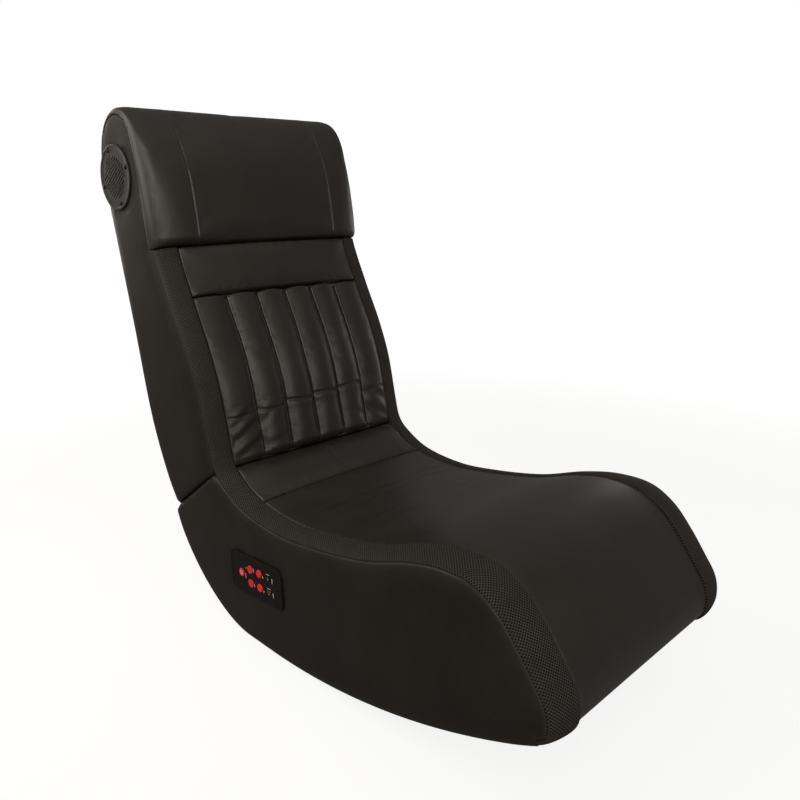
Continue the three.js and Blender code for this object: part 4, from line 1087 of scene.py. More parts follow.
# %% Mesh bands
BAND_EDGE = 0.0070
fold_stations = [(seat_rail.length, 0.03, 0.003)]
seat_stations = steps_between(0, seat_rail.length, 0.006, [(0, 0.012, 0.002), *fold_stations])
back_stations = steps_between(0, head_seam - GAP, 0.006, [(0, 0.03, 0.003), (head_seam, 0.006, 0.002)])
back_stations = back_stations[1:]
BAND_ACROSS = np.array([0, 0.015, 0.05, 0.10, 0.18, 0.28, 0.40, 0.52, 0.64, 0.76, 0.86, 0.93, 0.975, 1.0])
BAND_HEIGHTS = np.array([0.55, 0.82, 0.98, 1.04, 1.04, 1.0, 0.90,
                         0.76, 0.58, 0.36, 0.12, -0.14, -0.42, -0.80])


def band_sections(rail, stations, band, depth, side):
    inner = HALF - band(stations)[:, None]
    outer = HALF - 0.0065
    top_across = inner + (outer - inner) * BAND_ACROSS[None, :]
    rolled = round_off(stations, 0.009)[:, None] if rail is seat_rail else np.ones((len(stations), 1))
    top = BAND_EDGE * BAND_HEIGHTS[None, :] * rolled - 0.002 * (1 - rolled)
    bottom = -depth(stations)[:, None]
    low_side = np.full_like(bottom, -0.0075)
    frame_side = np.full_like(bottom, FRAME_OUTER)
    across = np.concatenate([inner, top_across, frame_side, frame_side], axis=1)
    heights = np.concatenate([bottom, top, np.maximum(low_side, bottom * 0.9), bottom], axis=1)
    places = rail.place(np.broadcast_to(stations[:, None], heights.shape), heights)
    return places, side * across


def soften_fold(places, along, reach=0.03, rounds=60):
    """Rounds the corner that the band makes at the fold."""
    weight = np.exp(-((along - seat_rail.length) / reach) ** 2)[:, None, None] * 0.5
    for _ in range(rounds):
        middle = (places[:-2] + places[2:]) / 2
        places[1:-1] += (middle - places[1:-1]) * weight[1:-1]
    return places


for side, word in ((1, "left"), (-1, "right")):
    seat_part = band_sections(seat_rail, seat_stations, seat_band, seat_depth, side)
    back_part = band_sections(back_rail, back_stations, back_band, back_depth, side)
    places = np.concatenate([seat_part[0], back_part[0]])
    across = np.concatenate([seat_part[1], back_part[1]])
    along = np.concatenate([seat_stations, seat_rail.length + back_stations])
    places = soften_fold(places, along)
    band = swept(f"mesh_band_{word}_fabric", places, across, along, np.zeros_like(across))
    refine(band)
    finish_soft(band, spacer_mesh, FOLD_BLEND,
                [f"seat_mesh_band_{word}", f"back_mesh_band_{word}"])

# %% [markdown]
# The side panels are leatherette over thin foam, pulled round the edge of the board. Each is
# almost flat, so its form is a height over the board that depends on the distance to its
# edge: a quarter round first, then a slow swell. The panel is laid out as a grid between its
# four borders, and the swell is pressed down under the speaker and under the control plate.

# %% Helpers for side panels
COVER_INNER, COVER_DEPTH = HALF - 0.012, 0.012
COVER_SWELL = 0.0016
# Radius of the turn and reach of the slope at a border: by the mesh band, a cover, the split
# and the headrest
BAND_TURN, COVER_TURN = (0.0040, 0.032), (0.0040, 0.024)
SPLIT_TURN, HEAD_TURN = (0.0014, 0.009), (0.0006, 0)
# Distances from a border at which the grid is closer
NEAR_EDGE = np.array([0, 0.00015, 0.0005, 0.0011, 0.0020, 0.0032, 0.0048, 0.0068, 0.0095, 0.0130])


def close_shares(length, step):
    """Shares of a path from 0 to 1, closer near both ends."""
    inner = np.arange(NEAR_EDGE[-1] + step, length - NEAR_EDGE[-1] - step / 2, step)
    return np.concatenate([NEAR_EDGE, inner, length - NEAR_EDGE[::-1]]) / length


def grid_between(first, second, start, end, steps):
    """A grid over four border paths: rows run along first and second, columns from start to end."""
    t = close_shares(run_lengths(first)[-1], steps[0])
    w = close_shares((run_lengths(start)[-1] + run_lengths(end)[-1]) / 2, steps[1])
    borders = [point_at(path, share * run_lengths(path)[-1])
               for path, share in ((first, t), (second, t), (start, w), (end, w))]
    a, b = borders[0][:, None], borders[1][:, None]
    c, d = borders[2][None], borders[3][None]
    t, w = t[:, None, None], w[None, :, None]
    corners = ((1 - t) * (1 - w) * first[0] + t * (1 - w) * first[-1]
               + (1 - t) * w * second[0] + t * w * second[-1])
    return (1 - w) * a + w * b + (1 - t) * c + t * d - corners


def toward(start, end, distance):
    return start + (end - start) / np.linalg.norm(end - start) * distance


def distance_to(outline, points):
    tree = KDTree(len(outline))
    for number, point in enumerate(outline):
        tree.insert((point[0], point[1], 0), number)
    tree.balance()
    return np.array([tree.find((p[0], p[1], 0))[2] for p in points])


def padded_edge(distance, turn, slope):
    """A tight turn at the border, then a slow slope, as foam has under a stretched cover."""
    turned_in = round_off(distance, turn)
    if slope == 0:
        return turned_in
    return 0.38 * turned_in + 0.62 * (1 - (1 - np.clip(distance / slope, 0, 1)) ** 2)


def side_panel(name, side, grid, edges, swell_at):
    """A closed panel: a swelling outer side on the grid, and a flat inner side.
    edges are its borders, each with the radius of its turn and the reach of its slope."""
    rows, columns = grid.shape[:2]
    flat = grid.reshape(-1, 2)
    distances = [distance_to(even(path, 0.0006), flat) for path, turn, slope in edges]
    distance = np.min(distances, axis=0)
    border = np.zeros((rows, columns), bool)
    border[[0, -1], :] = border[:, [0, -1]] = True
    rounding = np.prod([padded_edge(d, turn, slope)
                        for d, (path, turn, slope) in zip(distances, edges)], axis=0)
    rounding[border.ravel()] = 0
    height = (COVER_DEPTH + swell_at(flat, distances)) * rounding
    points = np.stack([side * (COVER_INNER + height), flat[:, 0], flat[:, 1]], axis=-1)
    faces = []
    for i in range(rows - 1):
        for j in range(columns - 1):
            a = i * columns + j
            faces.append((a, a + 1, a + columns + 1, a + columns))
    ring = list(range(columns)) + [i * columns + columns - 1 for i in range(1, rows)] \
        + [(rows - 1) * columns + j for j in range(columns - 2, -1, -1)] \
        + [i * columns for i in range(rows - 2, 0, -1)]
    faces.append(tuple(ring[::-1]))
    # painted highlight along all edges, strongest on the bead beside the mesh band, with smoother film there
    wear_and_highlight = 0.4 * np.exp(-((distance - 0.003) / 0.003) ** 2) \
        + 0.8 * np.exp(-((distances[0] - 0.0022) / 0.0012) ** 2)
    piece = new_piece(name, points, faces, flat, None, wear_and_highlight)
    alone(piece)
    bpy.ops.object.mode_set(mode="EDIT")
    bpy.ops.mesh.select_all(action="SELECT")
    bpy.ops.mesh.remove_doubles(threshold=0.00002)
    bpy.ops.mesh.dissolve_degenerate(threshold=0.00002)
    bpy.ops.object.mode_set(mode="OBJECT")
    face_outwards(piece)
    return piece


def carve(piece, cutter):
    """Takes the cutter out of a piece."""
    modifier = piece.modifiers.new("carve", "BOOLEAN")
    modifier.operation = "DIFFERENCE"
    modifier.solver = "EXACT"
    modifier.object = cutter
    apply_modifiers(piece)
    bpy.data.objects.remove(cutter, do_unlink=True)
    return piece


def cover_swell(points, distances, seed):
    """The slow swell of the foam away from the edges, with soft unevenness, and the stitched
    bead beside the mesh band, which is the first edge."""
    distance = np.min(distances, axis=0)
    bead = 0.0006 * np.exp(-((distances[0] - 0.0020) / 0.0009) ** 2) \
        - 0.0005 * np.exp(-((distances[0] - 0.0042) / 0.0010) ** 2)
    spots = np.concatenate([points, np.zeros((len(points), 1))], axis=1)
    uneven = waves(spots, 9, seed) * 0.0009 + waves(spots, 26, seed + 7) * 0.00025
    return COVER_SWELL * (1 - np.exp(-distance / 0.035)) + smooth_share(distance, 0.002, 0.03) * uneven + bead


def sunk_round(outside):
    """How far a panel is pressed in just outside a plate or a grille that is screwed onto it."""
    return 0.0006 * np.exp(-((outside - 0.001) / 0.004) ** 2)


print("side panel helpers ready")

# %% [markdown]
# The seat's panels run from the mesh bands down to the curved underside. The panel on the -X
# side has an opening for the control plate. By the fold the upper edge lies a little lower and
# the corner is cut off, because there both panels of a side come together as the chair folds.

# %% Side panels of the seat
SKIN = 0.0043  # mesh band over the side panel's edge
FOLD_RELIEF = 0.0012  # how much lower the edges lie by the fold
RELIEF_REACH = (0.016, 0.050)  # distances from the fold between which that fades out
panel_place = profile_point((0.564, 0.1495))
PANEL_TILT = math.radians(-3.5)
PANEL_LENGTH, PANEL_HEIGHT, PANEL_CORNER = 0.133, 0.065, 0.011
speaker_place = profile_point((0.9366, 0.8762))
GRILLE_RADIUS = 0.0525
PLATE_OPENING = (0.06, 0.1126, 0.0506)
SPEAKER_OPENING = 0.0482  # its radius


def plate_distance(points):
    """Distance outside the control plate's outline, negative inside it."""
    y, z = (points - panel_place).T
    along_plate = y * math.cos(PANEL_TILT) + z * math.sin(PANEL_TILT)
    up_plate = -y * math.sin(PANEL_TILT) + z * math.cos(PANEL_TILT)
    dy = np.abs(along_plate) - (PANEL_LENGTH / 2 - PANEL_CORNER)
    dz = np.abs(up_plate) - (PANEL_HEIGHT / 2 - PANEL_CORNER)
    outside = np.hypot(np.maximum(dy, 0), np.maximum(dz, 0))
    return outside + np.minimum(np.maximum(dy, dz), 0) - PANEL_CORNER


# The corners that would meet when the chair folds: how much is cut off along the band, how far
# down the split the cut ends, and the gap that both leave there
FOLD_CHAMFER, FOLD_CLEAR, FOLD_GAP = 0.006, 0.0098, 0.0006
SPLIT_OPEN = 0.32  # share of the drawn gap that the padding leaves open
split_middle = (seat_split + back_split) / 2
seat_lip = split_middle + (seat_split - split_middle) * SPLIT_OPEN
back_lip = split_middle + (back_split - split_middle) * SPLIT_OPEN


def edge_height(from_fold):
    """How high a panel's edge lies beside the band: lower by the fold, where both edges would meet."""
    return -SKIN * 0.98 - FOLD_RELIEF * (1 - smooth_share(from_fold, *RELIEF_REACH))


upper = seat_rail.place(seat_rail.along, edge_height(seat_rail.length - seat_rail.along))
upper = upper[seat_rail.along < seat_rail.length - FOLD_CHAMFER]
fold_start = crook + (split_middle - crook) / np.linalg.norm(split_middle - crook) * FOLD_CLEAR
split_edge = even(np.array([upper[-1], toward(fold_start, seat_lip, FOLD_GAP), seat_lip]), 0.001)
lower = even(np.concatenate([bottom_path[::-1], [seat_lip]]))
nose_edge = even(np.array([upper[0], lower[0]]), 0.001)
seat_grid = grid_between(upper, lower, nose_edge, split_edge, (0.006, 0.006))
seat_edges = [(upper, *BAND_TURN), (split_edge, *SPLIT_TURN), (lower, *COVER_TURN),
              (nose_edge, *COVER_TURN)]
for side, word in ((1, "left"), (-1, "right")):
    def seat_swell(points, distances):
        swell = cover_swell(points, distances, 3.0 + side)
        if side < 0:
            outside = plate_distance(points)
            swell = swell * smooth_share(outside, -0.004, 0.016) - sunk_round(outside)
        return swell
    cover = side_panel(f"seat_side_{word}_leather", side, seat_grid, seat_edges, seat_swell)
    if side < 0:
        bpy.ops.mesh.primitive_cube_add(size=1, location=(-HALF, *panel_place),
                                        rotation=(PANEL_TILT, 0, 0))
        cutter = bpy.context.object
        cutter.dimensions = PLATE_OPENING
        carve(cover, cutter)
    finish_soft(cover, cover_leather, "seat", [f"seat_side_cover_{word}"])

# %% [markdown]
# The backrest's panels are made in the same way. Their front border follows the mesh band and
# then the side of the headrest, so the two skins meet in one line there, and each panel has a
# round opening for its speaker.

# %% Side panels of the backrest
band_along = back_rail.along[(back_rail.along < head_seam - 0.001) & (back_rail.along > FOLD_CHAMFER)]
band_side = back_rail.place(band_along, edge_height(band_along))
head_along = back_rail.along[back_rail.along > head_seam + 0.001]
head_side = back_rail.place(head_along, -head_sizes(head_along)[2] - 2 * GAP)
front = even(np.concatenate([band_side, head_side]), 0.002)
rear = even(np.concatenate([[back_lip], rear_path[::-1]]))
bottom_edge = even(np.array([front[0], toward(fold_start, back_lip, FOLD_GAP), rear[0]]), 0.001)
top_edge = even(np.array([front[-1], rear[-1]]), 0.001)
back_grid = grid_between(front, rear, bottom_edge, top_edge, (0.006, 0.006))
back_edges = [(band_side, *BAND_TURN), (head_side, *HEAD_TURN), (top_edge, *HEAD_TURN),
              (rear, *COVER_TURN), (bottom_edge, *SPLIT_TURN)]
for side, word in ((1, "left"), (-1, "right")):
    def back_swell(points, distances):
        outside = np.linalg.norm(points - speaker_place, axis=1) - GRILLE_RADIUS
        swell = cover_swell(points, distances, 13.0 + side) * smooth_share(outside, -0.004, 0.016)
        valley = VALLEY * np.exp(-(distances[1] / 0.007) ** 2) * smooth_share(outside, 0, 0.006)
        return swell - valley - sunk_round(outside)
    cover = side_panel(f"back_side_{word}_leather", side, back_grid, back_edges, back_swell)
    bpy.ops.mesh.primitive_cylinder_add(vertices=64, radius=SPEAKER_OPENING, depth=0.05,
                                        rotation=(0, math.pi / 2, 0), location=(side * HALF, *speaker_place))
    carve(cover, bpy.context.object)
    finish_soft(cover, cover_leather, "backrest", [f"back_side_cover_{word}"])

# %% [markdown]
# The back and the underside are covered with plain leatherette, stretched over the board and
# hemmed at the side panels. Both turn into the gap between seat and backrest. They are true
# sheets, so they follow one path, keep one thickness, and only dip at their hems.

# %% Rear and bottom covers
SHEET = 0.003
CLOSING = 0.0436  # where both covers end in the gap, from the fold
NOSE_CLEAR = 0.016
LAP = 0.013  # of the rear cover over the end of the headrest's skin
HEM = 0.007


def soften_corner(path, corner, reach=0.010, rounds=40):
    """Rounds a corner of a path."""
    weight = (np.exp(-(np.linalg.norm(path - corner, axis=1) / reach) ** 2) * 0.5)[:, None]
    path = path.copy()
    for _ in range(rounds):
        path[1:-1] += ((path[:-2] + path[2:]) / 2 - path[1:-1]) * weight[1:-1]
    return path


def hem_surface(length, crown, puckers=0.00025):
    def height(u, v):
        inset = FRAME_OUTER - np.abs(u)
        stitch = np.exp(-((inset - HEM) / 0.0010) ** 2) + np.exp(-((v - HEM) / 0.0010) ** 2)
        roll = -0.0016 * (1 - round_off(inset, 0.003))
        swell = crown * smooth_share(inset, 0, 0.05) * smooth_share(v, 0.02, 0.08) \
            * smooth_share(length - v, 0.02, 0.08)
        spots = np.stack([u * 6, v * 6, np.zeros_like(u)], axis=-1)
        soft = (waves(spots, 1.5, 61.0) - 0.35) * 0.0009 * smooth_share(inset, 0.004, 0.03)
        return np.minimum(roll - stitch * (0.0006 + puckers * np.sin(v * 2 * np.pi / 0.009)) + swell + soft,
                          roll + crown + 0.0001)
    return height


def stretched_cover(name, path, crown, nodes, body):
    rail = Rail(path)
    columns = steps_between(-FRAME_OUTER, FRAME_OUTER, 0.012,
                            [(place, 0.010, 0.0011) for place in (-FRAME_OUTER, FRAME_OUTER)])
    top = np.zeros((len(rail.along), len(columns)))
    across = np.concatenate([[columns[0]], columns, [columns[-1]]])[None, :].repeat(len(top), axis=0)
    heights = np.concatenate([top[:, :1] - SHEET, top, top[:, :1] - SHEET], axis=1)
    places = rail.place(np.broadcast_to(rail.along[:, None], heights.shape), heights)
    cover = swept(name, places, across, rail.along, np.ones_like(heights))
    raised = hem_surface(rail.length, crown)(*spots_of(cover)) * (heights.ravel() == 0)
    move_corners(cover, corners_of(cover) + corners_of(cover, "normal") * raised[:, None])
    cover.data.materials.append(cover_leather.material)
    alone(cover)
    bpy.ops.object.shade_smooth_by_angle(angle=math.radians(50))
    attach(cover, body)
    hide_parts(nodes)
    print(name, round(rail.length, 3), "m long")


lap = back_rail.place(back_rail.length - LAP * np.array([1.0, 0.65, 0.3]),
                      SHEET + np.array([0.0006, 0.0008, 0.0011]))
rear_line = even(np.concatenate([lap, rear_path, [back_lip, toward(crook, back_lip, CLOSING)]]), 0.004)
rear_line = soften_corner(rear_line, back_lip, 0.003)
stretched_cover("rear_cover_leather", rear_line, 0.0012, "rear_cover", "backrest")
under = bottom_path[run_lengths(bottom_path) < run_lengths(bottom_path)[-1] - NOSE_CLEAR]
under_line = even(np.concatenate([[toward(crook, seat_lip, CLOSING), seat_lip], under]), 0.004)
under_line = soften_corner(under_line, seat_lip, 0.003)
stretched_cover("bottom_cover_leather", under_line, 0.0, "seat_bottom_cover", "seat")

# %% [markdown]
# When the chair folds, the split opens. A thin gusset of the same leatherette closes it: at rest
# it lies folded once between the ends of the two boards.

# %% Gusset in the split
GUSSET_THICK = 0.0003
GUSSET_REACH = HALF - 0.0075  # to each side, so that it also closes the gap between the side panels
split_run = (split_middle - crook) / np.linalg.norm(split_middle - crook)
split_across = np.array([-split_run[1], split_run[0]])


def in_split(along, above):
    """A point of the side plane, from distances along the split and over its middle in mm."""
    along, above = np.asarray(along)[..., None], np.asarray(above)[..., None]
    return crook + (along * split_run + above * split_across) * MM


turn = np.linspace(-math.pi / 2, math.pi / 2, 33)
gusset_line = np.concatenate([
    in_split(np.linspace(45, 30, 6), np.linspace(-0.60, -0.30, 6)),
    in_split(29.5 - 0.3 * np.cos(turn), 0.3 * np.sin(turn)),
    in_split(np.linspace(30, 45, 6), np.linspace(0.30, 0.60, 6)),
])
gusset_rail = Rail(gusset_line)
gusset_columns = np.linspace(-GUSSET_REACH, GUSSET_REACH, 25)
top = np.full((len(gusset_line), len(gusset_columns)), GUSSET_THICK / 2)
across = np.concatenate([gusset_columns, gusset_columns[::-1]])[None, :].repeat(len(top), axis=0)
heights = np.concatenate([top, -top], axis=1)
places = gusset_rail.place(np.broadcast_to(gusset_rail.along[:, None], heights.shape), heights)
gusset = swept("split_gusset_leather", places, across, gusset_rail.along, np.ones_like(heights))
gusset.vertex_groups.clear()
gusset.data.materials.append(cover_leather.material)
alone(gusset)
bpy.ops.object.shade_smooth_by_angle(angle=math.radians(60))
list(in_split(29.5, -0.22))
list(in_split(29.5, 0.22))
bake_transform(gusset)
print("gusset", round(gusset_rail.length, 4), "m long")

# %% [markdown]
# The hard pieces are turned or cut from primitives in edit mode. A turned piece starts as a
# circle, which is extruded and resized through the radii and heights of its outline. Each is
# made once at the origin, facing up, then copied with its own mesh and turned into its place.
# Their outlines, places and sizes are given in millimetres.

# %% Helpers for hard pieces
def start_edit(piece, mode="FACE"):
    alone(piece)
    bpy.ops.object.mode_set(mode="EDIT")
    bpy.context.tool_settings.mesh_select_mode = (mode == "VERT", mode == "EDGE", mode == "FACE")
    bpy.ops.mesh.select_all(action="DESELECT")


def end_edit(piece, angle=35):
    bpy.ops.object.mode_set(mode="OBJECT")
    face_outwards(piece)
    alone(piece)
    bpy.ops.object.shade_smooth_by_angle(angle=math.radians(angle))
    return piece


def pick(piece, mode, chosen):
    """Selects the faces or edges whose middle passes a test, in edit mode."""
    mesh = bmesh.from_edit_mesh(piece.data)
    items = mesh.faces if mode == "FACE" else mesh.edges
    for item in items:
        middle = sum((v.co for v in item.verts), Vector()) / len(item.verts)
        item.select_set(bool(chosen(item, middle)))
    bmesh.update_edit_mesh(piece.data)


def turned(name, outline, vertices=48, angle=35):
    """A closed turned piece, from its lowest radius and height up through the outline."""
    (radius, height), *rest = [(across * MM, up * MM) for across, up in outline]
    bpy.ops.mesh.primitive_circle_add(vertices=vertices, radius=radius, fill_type="NGON",
                                      location=(0, 0, height))
    piece = bpy.context.object
    piece.name = name
    bpy.ops.object.transform_apply(location=True, rotation=True, scale=True)
    start_edit(piece)
    bpy.ops.mesh.select_all(action="SELECT")
    for next_radius, next_height in rest:
        bpy.ops.mesh.extrude_region_move(TRANSFORM_OT_translate={"value": (0, 0, next_height - height)})
        share = next_radius / radius
        bpy.ops.transform.resize(value=(share, share, 1))
        radius, height = next_radius, next_height
    return end_edit(piece, angle)


def copy_of(piece, name, matrix):
    """A copy with its own mesh, moved into place."""
    made = piece.copy()
    made.data = piece.data.copy()
    made.name = made.data.name = name
    scene.collection.objects.link(made)
    made.data.transform(matrix)
    if matrix.to_3x3().determinant() < 0:
        face_outwards(made)
    return made


def drop(piece):
    bpy.data.objects.remove(piece, do_unlink=True)


def finish_hard(piece, finish, body, nodes=()):
    piece.data.materials.clear()
    piece.data.materials.append(finish.material)
    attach(piece, body)
    if nodes:
        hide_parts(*nodes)
    return piece


# The panel's own frame: x to the nose, y up, z out of the chair, from its middle
PANEL = Matrix.Translation((-HALF, *panel_place)) @ Matrix.Rotation(PANEL_TILT, 4, "X") \
    @ Matrix(((0, 0, -1, 0), (-1, 0, 0, 0), (0, 1, 0, 0), (0, 0, 0, 1)))


def on_panel(x, y, z=0.0):
    return PANEL @ Matrix.Translation((x * MM, y * MM, z * MM))


print("panel axes", [tuple(round(v, 3) for v in PANEL.to_3x3().col[k]) for k in range(3)])

# %% [markdown]
# The control plate is a rounded rectangle of moulded plastic. Its face lies a little lower
# than its rim, and every hole has a small chamfer. Seven holes take five buttons and two
# sockets.

# %% Control plate
PLATE_THICK, RIM_DROP = 3.0, 0.5
COLUMNS = (-37.0, -13.3, 10.4, 34.1)
ROWS = (11.5, -11.5)
BUTTON_SPOTS = {
    "power": (COLUMNS[0], 0), "volume_up": (COLUMNS[1], ROWS[0]), "volume_down": (COLUMNS[1], ROWS[1]),
    "bass_up": (COLUMNS[2], ROWS[0]), "bass_down": (COLUMNS[2], ROWS[1]),
}
SOCKET_SPOTS = {"audio": (COLUMNS[3], ROWS[0]), "power": (COLUMNS[3], ROWS[1])}
BUTTON_RADIUS, BARREL_RADIUS = 6.5, 4.5
LOW = 0.3  # back of the plate over the side panel's face
FACE = LOW + PLATE_THICK - RIM_DROP

bpy.ops.mesh.primitive_cube_add(size=1)
plate = bpy.context.object
plate.name = "control_plate"
start_edit(plate, "EDGE")
bpy.ops.mesh.select_all(action="SELECT")
bpy.ops.transform.resize(value=(PANEL_LENGTH, PANEL_HEIGHT, PLATE_THICK * MM))
pick(plate, "EDGE", lambda edge, middle: abs(middle.z) < 1e-6)
bpy.ops.mesh.bevel(offset=PANEL_CORNER, segments=10, affect="EDGES")
bpy.context.tool_settings.mesh_select_mode = (False, False, True)
pick(plate, "FACE", lambda face, middle: face.normal.z > 0.9)
bpy.ops.mesh.inset(thickness=0.5 * MM, depth=0)
pick(plate, "FACE", lambda face, middle: face.normal.z > 0.9 and face.calc_area() > 0.004)
bpy.ops.mesh.inset(thickness=0.9 * MM, depth=0.0)
bpy.ops.mesh.inset(thickness=RIM_DROP * MM, depth=-RIM_DROP * MM)
bpy.ops.mesh.inset(thickness=1.2 * MM, depth=0.0)
end_edit(plate)
plate.data.transform(Matrix.Translation((0, 0, (LOW + PLATE_THICK / 2) * MM)))
bevel = plate.modifiers.new("rim", "BEVEL")
bevel.width = 0.45 * MM
bevel.segments = 3
bevel.limit_method = "ANGLE"
bevel.angle_limit = math.radians(40)
apply_modifiers(plate)


def hole_cutter(radius):
    """What a hole takes out of the plate: a straight bore that widens at the face."""
    return turned("cutter", [(radius, -2), (radius, FACE - 0.35),
                             (radius + 0.45, FACE + 0.1), (radius + 0.45, 6)])


for spots, radius in ((BUTTON_SPOTS, BUTTON_RADIUS + 0.3), (SOCKET_SPOTS, BARREL_RADIUS + 0.3)):
    cutter = hole_cutter(radius)
    for x, y in spots.values():
        carve(plate, copy_of(cutter, "hole", Matrix.Translation((x * MM, y * MM, 0))))
    drop(cutter)
plate.data.transform(PANEL)
alone(plate)
bpy.ops.object.shade_smooth_by_angle(angle=math.radians(30))
finish_hard(plate, panel_plastic, "seat", ["control_faceplate"])
print("control plate", len(plate.data.polygons), "faces")

# %% [markdown]
# A button is a cap of glossy red plastic with a slightly hollow top. A collar under the plate
# keeps it from falling out, and a stem below reaches the control board. One is turned, and its
# five copies ride on bodies of their own, so each can be pressed. The power button also has a
# raised white ring.

# %% Buttons
TOP = 4.5
button = turned("button", [(3.0, -4.9), (3.0, -1.6), (8.1, -1.6), (8.1, 0), (BUTTON_RADIUS, 0),
                           (BUTTON_RADIUS, TOP - 0.9), (6.35, TOP - 0.45), (6.0, TOP - 0.18),
                           (5.4, TOP - 0.05), (4.6, TOP), (3.4, TOP - 0.12), (1.8, TOP - 0.22)])
for word, (x, y) in BUTTON_SPOTS.items():
    made = copy_of(button, f"{word}_key_cap", on_panel(x, y))
    finish_hard(made, button_plastic, f"{word}_key", [f"{word}_button"])
drop(button)

ring = turned("power_key_ring", [(3.4, TOP - 0.4), (3.4, TOP - 0.02), (3.2, TOP + 0.05),
                                 (2.7, TOP + 0.05), (2.5, TOP - 0.02), (2.5, TOP - 0.25)], vertices=40)
ring.data.transform(on_panel(*BUTTON_SPOTS["power"]))
finish_hard(ring, white_print_and_highlight, "power_key")

# %% [markdown]
# Plain printed strokes mark the keys and the sockets, without any lettering, and a flat white bar
# just above each socket is a painted highlight of its rim. They could be drawn by the plate's
# material, but thin raised bars stay crisp up close and keep their white.

# %% Printed strokes and painted socket highlights
bpy.ops.mesh.primitive_cube_add(size=1)
stroke = bpy.context.object
stroke.name = "stroke"
start_edit(stroke, "EDGE")
bpy.ops.mesh.select_all(action="SELECT")
bpy.ops.transform.resize(value=(1 * MM, 1 * MM, 0.24 * MM))
pick(stroke, "EDGE", lambda edge, middle: middle.z > 0.1 * MM)
bpy.ops.mesh.bevel(offset=0.06 * MM, segments=2, affect="EDGES")
end_edit(stroke)
# Middle of each stroke on the plate, then its width and height; the last two are the painted highlights over
# the sockets
STROKES_AND_SOCKET_HIGHLIGHTS = [
    (-27.6, -3.2, 1.1, 8.5), (-4.6, 12.0, 1.3, 7.0), (-4.6, -12.6, 1.1, 5.0), (19.4, 8.6, 1.2, 3.6),
    (19.4, -15.0, 1.2, 3.4), (43.6, 9.5, 1.3, 8.0), (43.6, -13.6, 1.3, 8.0), (-25.0, 10.4, 2.4, 0.9),
    (33.6, 17.3, 8.4, 1.0), (33.6, -5.7, 8.4, 1.0),
]
marks = []
for x, y, wide, high in STROKES_AND_SOCKET_HIGHLIGHTS:
    size = Matrix.Diagonal((wide, high, 1, 1))
    marks.append(copy_of(stroke, "mark", on_panel(x, y, FACE) @ size))
drop(stroke)
alone(marks[0])
for mark in marks:
    mark.select_set(True)
bpy.ops.object.join()
# the joined bars hold the print and the painted socket highlights
marks[0].name = marks[0].data.name = "panel_print_and_highlights"
finish_hard(marks[0], white_print_and_highlight, "seat")
print("strokes", len(STROKES_AND_SOCKET_HIGHLIGHTS))

# %% [markdown]
# The two sockets are dark metal barrels with a gilded ring in their mouths. The power socket's
# bore is wider and has a gilded pin in its middle. A turned piece closes its own ends, so the
# ring is turned as a disc and then bored.

# %% Sockets
SOCKET_TOP, BASE = 3.7, -5.4


def barrel(name, bore):
    return turned(name, [(6, BASE), (6, 0), (BARREL_RADIUS, 0), (BARREL_RADIUS, SOCKET_TOP - 0.3),
                         (BARREL_RADIUS - 0.3, SOCKET_TOP), (bore + 0.9, SOCKET_TOP),
                         (bore + 0.6, SOCKET_TOP - 0.3), (bore, SOCKET_TOP - 0.6), (bore, SOCKET_TOP - 6)])


def liner(name, bore):
    """The gilded ring that lines a bore."""
    made = turned(name, [(bore + 0.5, SOCKET_TOP - 0.7), (bore + 0.5, SOCKET_TOP - 0.25),
                         (bore + 0.35, SOCKET_TOP - 0.15), (bore, SOCKET_TOP - 0.35)])
    return carve(made, turned("bore", [(bore - 0.15, -2), (bore - 0.15, 8)]))


for word, bore in (("audio", 1.8), ("power", 3.2)):
    x, y = SOCKET_SPOTS[word]
    made = barrel(f"{word}_socket_barrel", bore)
    made.data.transform(on_panel(x, y))
    finish_hard(made, dark_steel, "seat", [f"{word}_socket"])
    made = liner(f"{word}_socket_contact", bore)
    made.data.transform(on_panel(x, y))
    finish_hard(made, gold_plate, "seat")
pin = turned("power_socket_pin", [(1.0, SOCKET_TOP - 6), (1.0, SOCKET_TOP - 1.6),
                                  (0.7, SOCKET_TOP - 1.2), (0.25, SOCKET_TOP - 1.1)], vertices=24)
pin.data.transform(on_panel(*SOCKET_SPOTS["power"]))
finish_hard(pin, gold_plate, "seat")
print("sockets", len(SOCKET_SPOTS))

# %% [markdown]
# A speaker grille is a turned disc with a raised rim and a faintly domed field, pierced with
# rows of diamond holes. The left one is the mirror image of the right one. One diamond is
# shaped, copied to every place in the field, and all of them are taken out at once.

# %% Grilles
FIELD = 37.0  # radius of the pierced part
HOLE_PITCH, HOLE_REACH = 7.0, 2.75
disc = turned("grille", [(51.9, 0), (52.5, 0.6), (52.5, 1.7), (52.2, 2.4), (51.4, 2.85), (50.4, 3.0),
                         (49.0, 2.95), (48.3, 2.6), (47.8, 2.3), (46.6, 2.2), (38.5, 2.35), (26, 2.7),
                         (13, 2.9)], vertices=96)
bpy.ops.mesh.primitive_circle_add(vertices=4, radius=HOLE_REACH * MM, fill_type="NGON",
                                  location=(0, 0, -1 * MM))
diamond = bpy.context.object
bpy.ops.object.transform_apply(location=True, rotation=True, scale=True)
start_edit(diamond, "VERT")
bpy.ops.mesh.select_all(action="SELECT")
bpy.ops.transform.resize(value=(0.80, 1.12, 1))
bpy.ops.mesh.bevel(offset=0.5 * MM, segments=2, affect="VERTICES")
bpy.context.tool_settings.mesh_select_mode = (False, False, True)
bpy.ops.mesh.select_all(action="SELECT")
bpy.ops.mesh.extrude_region_move(TRANSFORM_OT_translate={"value": (0, 0, 6 * MM)})
end_edit(diamond)
holes = []
row_step = HOLE_PITCH * 0.62
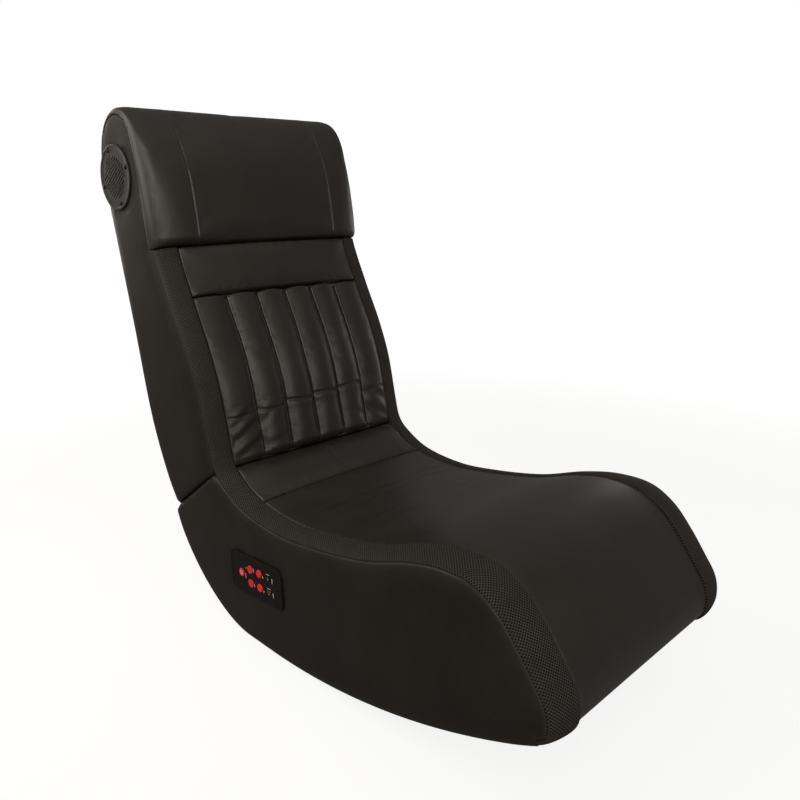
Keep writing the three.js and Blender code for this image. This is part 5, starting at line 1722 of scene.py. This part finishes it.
for row in range(-8, 9):
    for column in range(-8, 9):
        place = Vector(((column + (0.5 if row % 2 else 0)) * HOLE_PITCH, row * row_step, 0)) * MM
        if place.length + HOLE_REACH * MM < FIELD * MM:
            holes.append(copy_of(diamond, "diamond", Matrix.Translation(place)))
drop(diamond)
alone(holes[0])
for hole in holes:
    hole.select_set(True)
bpy.ops.object.join()
print("holes in a grille", len(holes))
carve(disc, holes[0])
alone(disc)
bpy.ops.object.shade_smooth_by_angle(angle=math.radians(35))


def speaker_frame(side):
    """Out of the chair at one speaker, mirrored from side to side."""
    return Matrix(((0, 0, side, side * (HALF + GAP)), (-1, 0, 0, speaker_place[0]),
                   (0, 1, 0, speaker_place[1]), (0, 0, 0, 1)))


GRILLE_TURN = Matrix.Rotation(math.radians(-18), 4, "Z")
for side, word in ((1, "left"), (-1, "right")):
    made = copy_of(disc, f"speaker_grille_{word}_pierced", speaker_frame(side) @ GRILLE_TURN)
    finish_hard(made, grille_plastic, "backrest", [f"speaker_grille_{word}"])
drop(disc)

# %% [markdown]
# Four dark screws hold each grille. A screw has a low domed head with a crossed slot, which two
# thin blocks cut out, and each copy is turned by another angle, as screws driven by hand are.

# %% Grille screws
HEAD, SEAT_OF_HEAD = 3.4, 2.25
DOME = SEAT_OF_HEAD + 1.62  # height of its top
screw = turned("screw", [(0.6, -17), (1.8, -14.5), (1.8, SEAT_OF_HEAD + 0.05), (HEAD, SEAT_OF_HEAD + 0.05),
                         (HEAD, SEAT_OF_HEAD + 0.7), (HEAD * 0.9, SEAT_OF_HEAD + 1.15),
                         (HEAD * 0.68, SEAT_OF_HEAD + 1.5), (HEAD * 0.35, DOME)], vertices=32)
for turn in (0, math.pi / 2):
    bpy.ops.mesh.primitive_cube_add(size=1)
    slot = bpy.context.object
    start_edit(slot, "FACE")
    bpy.ops.mesh.select_all(action="SELECT")
    bpy.ops.transform.resize(value=(3.8 * MM, 0.8 * MM, 2 * MM))
    pick(slot, "FACE", lambda face, middle: face.normal.z < -0.9)
    bpy.ops.transform.resize(value=(0.45, 0.6, 1))
    end_edit(slot)
    slot.data.transform(Matrix.Translation((0, 0, (DOME + 0.1) * MM)) @ Matrix.Rotation(turn, 4, "Z"))
    carve(screw, slot)
alone(screw)
bpy.ops.object.shade_smooth_by_angle(angle=math.radians(35))
for side, word in ((1, "left"), (-1, "right")):
    for number in range(1, 5):
        node = f"grille_screw_{word}_{number}"
        low, high = (Vector(corner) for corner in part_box(node))
        frame_here = speaker_frame(side)
        frame_here[1][3], frame_here[2][3] = (low.y + high.y) / 2, (low.z + high.z) / 2
        spin = Matrix.Rotation(number * 1.3 + side, 4, "Z")
        made = copy_of(screw, f"{node}_cross", frame_here @ spin)
        finish_hard(made, dark_steel, "backrest", [node])
drop(screw)
print("screws placed")
